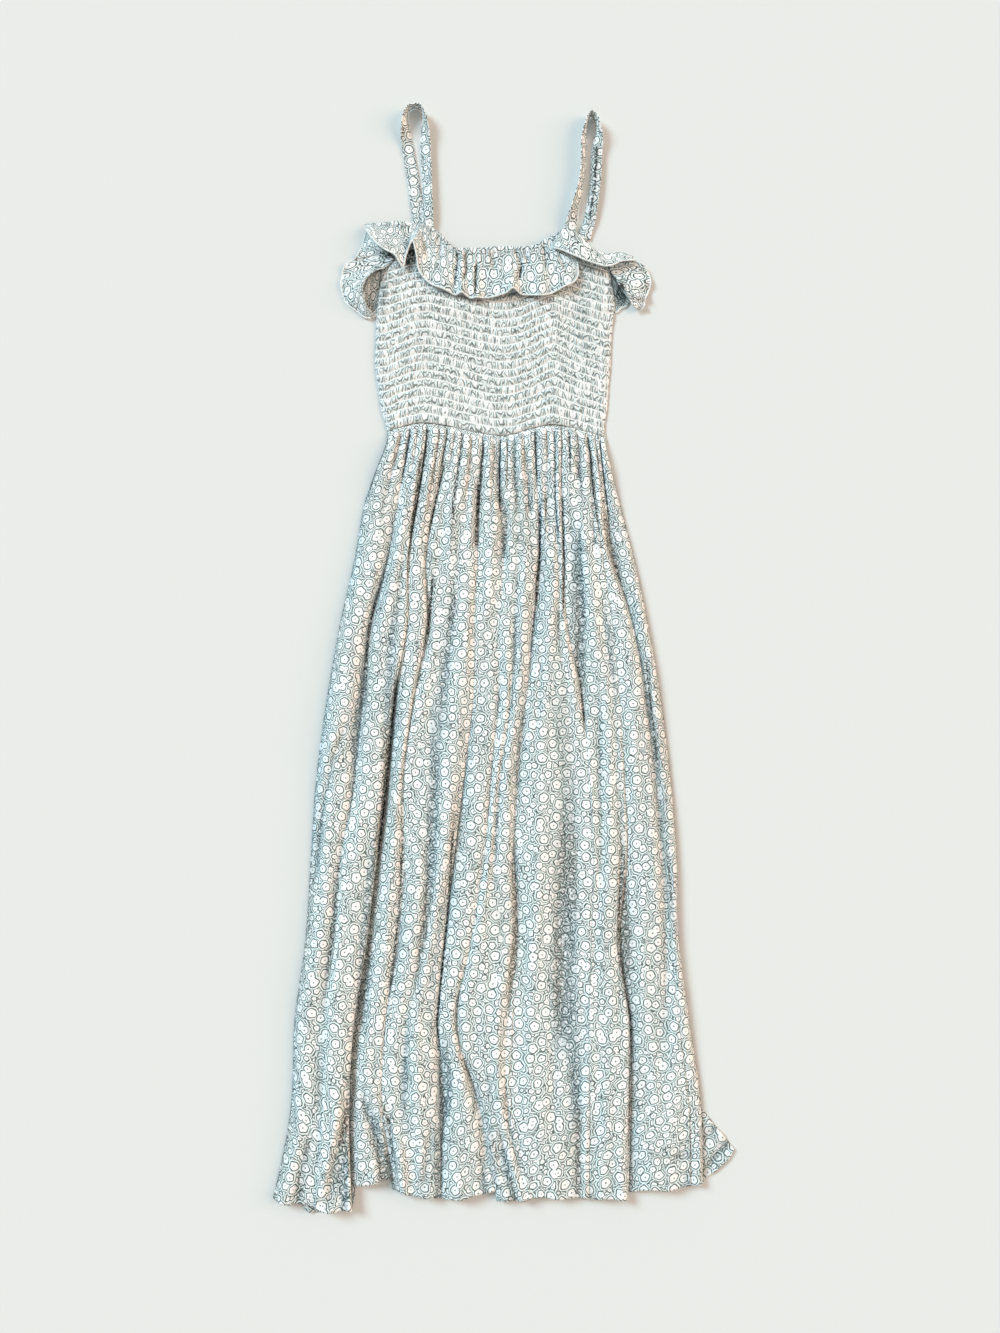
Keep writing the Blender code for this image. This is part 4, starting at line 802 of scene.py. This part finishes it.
# Shirred bodice: rows of elastic about 10 mm apart, cloth puckered between them
bodice = {
    "rows": 22,
    "pitch": 9.8,
    "stepsPerRow": 6,
    "columns": 345,
    "crown": 2.2,
    # (x, share of the crown's height) and (x, rise of the elastic rows)
    "bulge": ((-146, 0.0), (-120, 0.6), (-93, 1.0), (-45, 0.6), (0, 0.5), (40, 0.8), (57, 1.0), (80, 0.35),
              (100, 0.3), (126, 0.0)),
    "rowWave": ((-146, -3), (-120, 0), (-92, 3), (-60, 1.5), (-30, -0.5), (0, -2), (28, -2), (46, 2.5), (58, 6.5),
                (70, 2.5), (88, -2), (108, -3), (126, -4)),
    "puffRise": 2.3,
    "puckerMm": 3.9,
    "printScale": (1.15, 0.5),
    "puckerShare": 0.55,          # how much of a puff's height is in its puckers
    "puckerShade": 0.85,
    "paintedShadeBand": (0.3, 92, 12),   # darkness, middle and half width of the painted shade band at the right
    "underRuffle": (0.75, 2.2, 1.5),  # darkness and half width of the shade under the ruffle's edge, and its drop
    "edgeRoll": 7,
    "back": {"rows": 60, "columns": 70, "inset": 6, "z": 1.15, "step": 1.5},
    "thick": 0.7,
    # (x, y) along the neck, and (y, left x, right x) of the sides
    "neckline": ((-141, 436), (-128, 452), (-109, 471), (-93, 477), (-74, 469), (-59, 455), (-27, 453),
                 (-1, 455), (25, 455), (42, 461), (56, 469), (73, 474), (89, 469), (103, 455), (122, 434)),
    "sides": ((235, -133, 117), (243, -134, 116), (269, -141, 119), (296, -145, 121),
              (317, -148, 123), (338, -148, 124), (369, -147, 126), (395, -145, 128),
              (422, -142, 124), (436, -141, 122), (480, -136, 116)),
}


def makeBodiceFront():
    # height = base + crown + rise * between^0.8 * pucker; between = sin^2 of the row number, so each elastic row
    # is low; pucker = waves 3.9 mm apart across, each row's shifted by chance
    row = np.linspace(0, bodice["rows"], bodice["rows"] * bodice["stepsPerRow"] + 1)[:, None]
    t = np.linspace(0, 1, bodice["columns"] + 1)[None, :]
    sideY, sideLeft, sideRight = np.array(bodice["sides"], float).T
    neckX, neckY = np.array(bodice["neckline"], float).T
    seamX, seamY = np.array(waistSeam, float).T
    up = row / bodice["rows"]
    x = np.zeros((row.shape[0], t.shape[1]))
    for _ in range(4):
        bottom = smoothRead(seamX, seamY, x) + 0.3
        top = smoothRead(neckX, neckY, x)
        y = bottom + up * (top - bottom)
        left, right = smoothRead(sideY, sideLeft, y), smoothRead(sideY, sideRight, y)
        x = left + t * (right - left)
    waveX, waveY = np.array(bodice["rowWave"], float).T
    lifted = smoothRead(waveX, waveY, x) * np.sin(math.pi * np.clip(1.25 * up, 0, 1)) ** 0.8
    row = (y - smoothRead(seamX, seamY, x) - lifted) / bodice["pitch"] + 0.06 * unevenness(x, y, 19, 30, 60)
    band = np.floor(row)
    dice = np.random.default_rng(5)
    shift = dice.uniform(0, 2 * math.pi, 40)[np.clip(band, 0, 39).astype(int)]
    phase = 2 * math.pi * x / bodice["puckerMm"] + shift + 2.6 * unevenness(x, 37 * band, 11, 34, 300)
    phase = phase + 0.7 * np.sin(2 * math.pi * row + 5 * unevenness(x, 29 * band, 18, 16, 120))
    pucker = 0.5 + 0.5 * np.cos(phase)
    between = np.sin(math.pi * row) ** 2
    strength = 0.7 + 0.3 * unevenness(x, 23 * band, 12, 45, 200)
    under = 1.5 + 1.5 * softRamp(y, 373, 386)
    bulgeX, bulge = np.array(bodice["bulge"], float).T
    crown = bodice["crown"] * smoothRead(bulgeX, bulge, x)
    plain = 1 - softRamp(up, 0.93, 0.97)
    share = bodice["puckerShare"]
    rise = bodice["puffRise"] * between**0.8 * (1 - share + share * pucker * strength)
    waves = 0.8 * unevenness(x, y, 21, 90, 160)
    z = under + 1.2 + (crown + rise + waves * 0.5) * plain
    edge = np.minimum(t, 1 - t) * 270
    roll = np.sqrt(softRamp(edge, -1.5, bodice["edgeRoll"]))
    floorZ = 1.2 + 1.5 * softRamp(y, 362, 372)
    z = floorZ + (z - floorZ) * roll
    points = np.stack([x, y, z], axis=-1)
    # the bunched print is too fine to show: it is drawn about twice as coarse, and shifted from row to row
    uv = np.stack([x * bodice["printScale"][0] + 37.3 * band, y * bodice["printScale"][1]], axis=-1) * mm
    clusters = np.clip(0.62 + 1.1 * unevenness(x, 31 * band, 15, 17, 90), 0, 1.1)
    # painted shade: in each pucker, and in a band at the right
    hollow = bodice["puckerShade"] * (1 - pucker) ** 1.6 * between**0.35 * clusters * plain
    dark, middle, half = bodice["paintedShadeBand"]
    hollow = np.maximum(hollow, dark * np.exp(-((x - middle) / half) ** 2) * softRamp(y, 290, 360))
    # shade under the ruffle's free edge, by the distance to the nearest point of it
    dark, half, drop = bodice["underRuffle"]
    underRuffle = np.full(x.shape, 1e3)
    for name in ("ruffle_front", "ruffle_right_top"):
        edge = np.array(ruffles[name]["sections"], float)[:, 3:5]
        marks = np.arange(len(edge))
        edge = smoothRead(marks, edge, np.linspace(0, marks[-1], 160))
        for edgeX, edgeY in edge:
            underRuffle = np.minimum(underRuffle, np.hypot(x - edgeX, y - edgeY + drop))
    hollow = np.maximum(hollow, dark * np.exp(-(underRuffle / half) ** 2))
    hollow = np.maximum(hollow, shadeOf("bodice_front", x, y))
    rows = np.stack([np.zeros_like(x), row], axis=-1)
    return gridPiece("bodice_front_cloth", points, uv, shirredCloth, bodice["thick"], rows, hollow)


def makeBodiceBack():
    # flat panel under the front, one step up over the back ruffle
    neckX, neckY = np.array(bodice["neckline"], float).T
    sideY, sideLeft, sideRight = np.array(bodice["sides"], float).T
    seamX, seamY = np.array(waistSeam, float).T
    back = bodice["back"]
    up = np.linspace(0, 1, back["rows"])[:, None]
    t = np.linspace(0, 1, back["columns"])[None, :]
    x = np.zeros((back["rows"], back["columns"]))
    for _ in range(4):
        bottom, top = smoothRead(seamX, seamY, x) + 1, smoothRead(neckX, neckY, x) - 4
        y = bottom + up * (top - bottom)
        left, right = smoothRead(sideY, sideLeft, y), smoothRead(sideY, sideRight, y)
        x = left + back["inset"] + t * (right - left - 2 * back["inset"])
    z = back["z"] + back["step"] * softRamp(y, 378, 391)
    row = np.repeat(up, back["columns"], axis=1) * bodice["rows"]
    rows = np.stack([np.zeros_like(row), row], axis=-1)
    points = np.stack([x, y, z], axis=-1)
    uv = np.stack([x * bodice["printScale"][0], y * bodice["printScale"][1]], axis=-1) * mm
    return gridPiece("bodice_back_cloth", points, uv, shirredCloth, bodice["thick"], rows)


bodiceFront = dress(makeBodiceFront(), "bodice_front", "bodice_front")
bodiceBack = dress(makeBodiceBack(), "bodice_back", "bodice_back")
print("shirred bodice made")


rolledHem = {"radius": 1.0, "sides": 8, "stitchIn": 2.6, "stitchHalf": 0.9, "stitchShade": 0.6, "drop": 0.3,
             "clear": 0.1}
# small gathers along the sewn edge, and the flutes further out; heights are shares of each ruffle's "flutes"
ruffleGathers = {"pitch": 4.6, "rise": 0.55, "fluteRise": 0.4, "fluteWaves": (31, 40, 60), "shade": 0.75}
# sharp little pleats in the front ruffle, as in the creases table
ruffleCreases = {
    "pleatOne": (2.2, 2.4, 0.5, ((-53, 456), (-53, 443), (-57, 404))),
    "pleatTwo": (2.2, 2.2, 0.5, ((-44, 456), (-43, 430), (-47, 412))),
    "pleatThree": (2.6, 2.2, 0.5, ((-31, 440), (-32, 424), (-33, 394))),
    "pleatFour": (1.8, 2.4, 0.5, ((-12, 456), (-13, 440), (-10, 424))),
    "pleatFive": (2.4, 2.2, 0.5, ((12, 457), (14, 450), (21, 435), (17, 414))),
    "pleatSix": (1.8, 2.2, 0.5, ((23, 457), (25, 450), (30, 432))),
    "pleatSeven": (1.8, 2.2, 0.5, ((46, 462), (47, 450), (50, 430))),
    "foldRight": (1.8, 2.4, 0.5, ((64, 450), (66, 443), (73, 428))),
    "shoulderOne": (1.6, 3.0, 0.5, ((-95, 476), (-92, 462), (-86, 436))),
    "shoulderTwo": (1.5, 3.0, 0.5, ((-76, 472), (-74, 458), (-72, 436))),
}


def tube(name, path, radius, sides, material):
    # circles square to the path: path + radius * (cos a * side + sin a * up)
    forward = np.gradient(path, axis=0)
    forward /= np.linalg.norm(forward, axis=1)[:, None]
    side = np.cross(forward, (0, 0, 1.0))
    side /= np.maximum(np.linalg.norm(side, axis=1), 1e-6)[:, None]
    up = np.cross(side, forward)
    a = np.linspace(0, 2 * math.pi, sides, endpoint=False)[None, :, None]
    ring = path[:, None] + radius * (np.cos(a) * side[:, None] + np.sin(a) * up[:, None])
    ring[0], ring[-1] = path[0], path[-1]
    along = np.concatenate([[0], np.cumsum(np.linalg.norm(np.diff(path, axis=0), axis=1))])
    uv = np.stack([np.repeat(along[:, None], sides, axis=1), np.zeros((len(path), sides))], axis=-1) * mm
    return gridPiece(name, ring, uv, material, closed=True)


hemCloth = printedViscose("printed viscose, rolled hem", pale=0.8)
for name, look in ruffles.items():
    # sewn edge and free edge are cubics through the sections, and the rows between them rise late (share ^ lift);
    # small gathers stand along the sewn edge as cosines of the length along it, and fade out
    table = np.array(look["sections"], float)
    at = np.linspace(0, len(table) - 1, look["steps"] * (len(table) - 1) + 1)
    read = smoothRead(np.arange(len(table)), table, at)
    sewn, free = read[:, :3], read[:, 3:]
    share = np.concatenate([np.linspace(0, 0.88, look["rows"] - 5), np.linspace(0.9, 1, 6)])[:, None]
    points = sewn[None] + share[..., None] * (free - sewn)[None]
    points[..., 2] = sewn[:, 2] + share ** look["lift"] * (free[:, 2] - sewn[:, 2])
    along = np.concatenate([[0], np.cumsum(np.linalg.norm(np.diff(sewn, axis=0), axis=1))])[None, :]
    gathers = np.cos(2 * math.pi * along / ruffleGathers["pitch"] + 0.8 * np.sin(along / 9))
    nearSewn = (1 - softRamp(share, 0.1, 0.6)) * softRamp(share, 0, 0.06)
    points[..., 2] += look["flutes"] * ruffleGathers["rise"] * gathers * nearSewn
    flutes = unevenness(points[..., 0], points[..., 1], *ruffleGathers["fluteWaves"])
    points[..., 2] += look["flutes"] * ruffleGathers["fluteRise"] * flutes * share
    hollow = np.zeros(points.shape[:2])
    # painted shade in the pleats of the front ruffle, from the creases' depth
    if name == "ruffle_front":
        field, hollow = creaseField(points[..., 0], points[..., 1], ruffleCreases)
        points[..., 2] += field * softRamp(share, 0.02, 0.12)
    u, v = clothLengths(points)
    # painted shade along the stitching by the rolled hem, in the deep places and in the pinches of the small gathers
    toStitch = (v[-1:] - v - rolledHem["stitchIn"]) / rolledHem["stitchHalf"]
    hollow = np.maximum(hollow, rolledHem["stitchShade"] * np.exp(-toStitch**2))
    hollow = np.maximum(hollow, shadeOf(name, points[..., 0], points[..., 1]))
    pinched = (0.5 - 0.5 * gathers) ** 2 * (1 - softRamp(share, 0.08, 0.45)) * softRamp(share, 0, 0.04)
    hollow = np.maximum(hollow, ruffleGathers["shade"] * look["flutes"] * pinched)
    strip = np.repeat(u[-1:], len(u), axis=0)  # cut straight: as long where it is sewn as at its free edge
    piece = gridPiece(name + "_cloth", points, np.stack([strip, -v], axis=-1) * mm, look["material"], 0.6,
                      hollow=0.9 * hollow)
    dress(piece, name, name)
    edge = points[-1] + (0, 0, -rolledHem["drop"])
    edge[:, 2] = np.maximum(edge[:, 2], rolledHem["radius"] + rolledHem["clear"])
    hem = tube(name + "_hem", edge, rolledHem["radius"], rolledHem["sides"], hemCloth)
    dress(hem, name)
print("ruffles made")


# Straps: a flat band swept along its middle line, turned on edge at the loop's top:
# (x, y, z, roll in degrees, height of the fold along its middle)
straps = {
    "width": 13.5,
    "thick": 1.4,
    "sections": 170,
    "sides": 28,
    "roundness": (0.35, 0.5),              # powers of the profile's cosine and sine
    "stitchIn": 1.8,
    "stitchDip": (0.25, 0.7),              # depth and half width
    "stitchShade": (0.5, 0.9),
    "foldShade": (0.95, 1.1),
    "ripple": (0.18, 3.1, 11.0),
    "left": (
        (-88, 471, 5.3, 0, 0.0), (-88, 484, 5.6, 0, 0.0), (-88.2, 500, 5.4, 18, 0.3), (-88.6, 520, 4.6, 28, 0.5),
        (-89.5, 545, 4.4, 28, 0.4), (-90.5, 568, 4.2, 24, 0.3), (-91.3, 587, 4.6, 30, 0.0),
        (-91.8, 602, 6.2, 50, 0.0), (-93.4, 615, 7.2, 76, 0.0), (-97.5, 624.5, 7.4, 92, 0.0),
        (-104.0, 626.0, 7.4, 100, 0.0), (-110.5, 623.5, 7.4, 92, 0.0), (-114.3, 613, 7.0, 68, 0.0),
        (-114.6, 600, 5.0, 46, 0.0), (-113.2, 587, 2.2, 14, 0.0), (-111.0, 573, 1.0, 0, 0.2),
        (-107.8, 555, 1.0, 0, 0.2), (-104.6, 535, 1.0, 0, 0.3), (-101.6, 512, 1.0, 0, 0.3),
        (-99.4, 492, 1.2, 0, 0.1), (-98.4, 474.5, 2.1, 0, 0.0),
    ),
    "right": (
        (74, 469, 5.3, 0, 0.0), (77, 480, 5.6, -2, 0.0), (80.5, 495, 6.2, -38, 0.5), (84.6, 513, 6.4, -58, 0.5),
        (89.2, 530, 6.6, -62, 0.4), (92.0, 548, 6.8, -64, 0.2), (92.8, 566, 6.8, -64, 0.0),
        (93.6, 585, 6.6, -60, 0.0), (96.0, 600, 7.0, -70, 0.0), (99.0, 612, 7.3, -84, 0.0),
        (102.4, 617, 7.4, -90, 0.0), (106.4, 613, 7.3, -84, 0.0), (110.0, 601, 6.8, -72, 0.0),
        (110.4, 588, 4.6, -40, 0.4), (108.8, 572, 3.4, -24, 1.4), (108.0, 552, 3.2, -22, 1.7),
        (106.3, 532, 3.2, -24, 1.7), (103.4, 511, 3.0, -22, 1.5), (99.6, 489, 2.4, -12, 1.0),
        (95.2, 474, 2.1, 0, 0.2), (93.9, 468, 2.1, 0, 0.0),
    ),
}


def makeStrap(name, sections):
    # profile carried along the middle line: a flat loop with round edges, bent up by crease in its middle
    table = np.array(sections, float)
    length = np.concatenate([[0], np.cumsum(np.linalg.norm(np.diff(table[:, :3], axis=0), axis=1))])
    at = np.linspace(0, length[-1], straps["sections"])
    read = smoothRead(length, table, at)
    middle, roll, crease = read[:, :3], np.radians(read[:, 3])[:, None], read[:, 4]
    forward = np.gradient(middle, axis=0) * (1, 1, 0)
    forward /= np.linalg.norm(forward, axis=1)[:, None]
    up = np.array((0, 0, 1.0))
    across = np.cross(forward, up) * np.cos(roll) + up * np.sin(roll)
    normal = np.cross(across, forward)
    half, thin = straps["width"] / 2, straps["thick"] / 2
    a = np.linspace(0, 2 * math.pi, straps["sides"], endpoint=False)
    flat, blunt = straps["roundness"]
    px = half * np.sign(np.cos(a)) * np.abs(np.cos(a)) ** flat
    pz = thin * np.sign(np.sin(a)) * np.abs(np.sin(a)) ** blunt
    toStitch = np.abs(px) - half + straps["stitchIn"]
    dip, dipHalf = straps["stitchDip"]
    pz = pz - dip * np.exp(-(toStitch / dipHalf) ** 2) * np.sign(pz)
    lift = crease[:, None] * (1 - np.abs(px) / half)
    rise, short, long = straps["ripple"]
    ripple = rise * np.sin(at / short)[:, None] * np.sin(at / long)[:, None]
    points = (middle[:, None] + across[:, None] * px[None, :, None]
              + normal[:, None] * (pz[None, :] + lift + ripple * np.sign(pz))[..., None])
    lowest = points[..., 2].min(axis=1)
    points[..., 2] += np.maximum(0.05 - lowest, 0)[:, None]
    points[0], points[-1] = points[0].mean(axis=0), points[-1].mean(axis=0)
    uv = np.stack([np.repeat(px[None], len(at), axis=0) + 40, np.repeat(-at[:, None], len(a), axis=1)], axis=-1) * mm
    # painted shade along the fold in the middle and along the stitching
    dark, half = straps["foldShade"]
    folded = dark * softRamp(crease[:, None], 0.4, 1.4) * np.exp(-((px / half) ** 2)) * (pz > 0)
    dark, half = straps["stitchShade"]
    stitched = dark * np.exp(-(toStitch / half) ** 2)
    hollow = np.maximum(folded, stitched)
    return gridPiece(name, points[:, ::-1], uv[:, ::-1], skirtCloth, hollow=hollow[:, ::-1], closed=True)


for side in ("left", "right"):
    strap = dress(makeStrap("strap_" + side + "_cloth", straps[side]), "strap_" + side, "strap_" + side)
print("straps made")


# Pale matt floor, so that no reflection competes with the cloth, and soft daylight: cool from the left, slightly
# warm from the right
studio = {
    "floor": "#e2e4e3",
    "world": ("#fdf9f2", 0.46),
    "lights": (
        {"name": "cool window", "from": (-0.85, 0.6, 0.72), "spread": 22, "power": 3.15, "colour": "#c6e3ef"},
        {"name": "warm bounce", "from": (1.0, 0.1, 0.55), "spread": 40, "power": 1.95, "colour": "#ffd9ba"},
    ),
}
floorMesh = bpy.data.meshes.new("floor")
floorMesh.from_pydata([(-6, -6, 0), (6, -6, 0), (6, 6, 0), (-6, 6, 0)], [], [(0, 1, 2, 3)])
floor = bpy.data.objects.new("floor", floorMesh)
bpy.context.scene.collection.objects.link(floor)
floorPaint = bpy.data.materials.new("matt pale floor")
floorPaint.use_nodes = True
floorPaint.node_tree.nodes["Principled BSDF"].inputs["Base Color"].default_value = linearColour(studio["floor"])
floorPaint.node_tree.nodes["Principled BSDF"].inputs["Roughness"].default_value = 0.9
floorMesh.materials.append(floorPaint)

world = bpy.data.worlds.new("studio")
world.use_nodes = True
world.node_tree.nodes["Background"].inputs[0].default_value = linearColour(studio["world"][0])
world.node_tree.nodes["Background"].inputs[1].default_value = studio["world"][1]
bpy.context.scene.world = world
for look in studio["lights"]:
    lamp = bpy.data.lights.new(look["name"], "SUN")
    lamp.energy, lamp.angle, lamp.color = look["power"], math.radians(look["spread"]), linearColour(look["colour"])[:3]
    holder = bpy.data.objects.new(look["name"], lamp)
    x, y, z = look["from"]
    holder.location = look["from"]
    holder.rotation_euler = (math.atan2(math.hypot(x, y), z), 0, math.atan2(x, -y))
    bpy.context.scene.collection.objects.link(holder)
bpy.context.scene.view_settings.view_transform = "Standard"
print("floor and lights made")
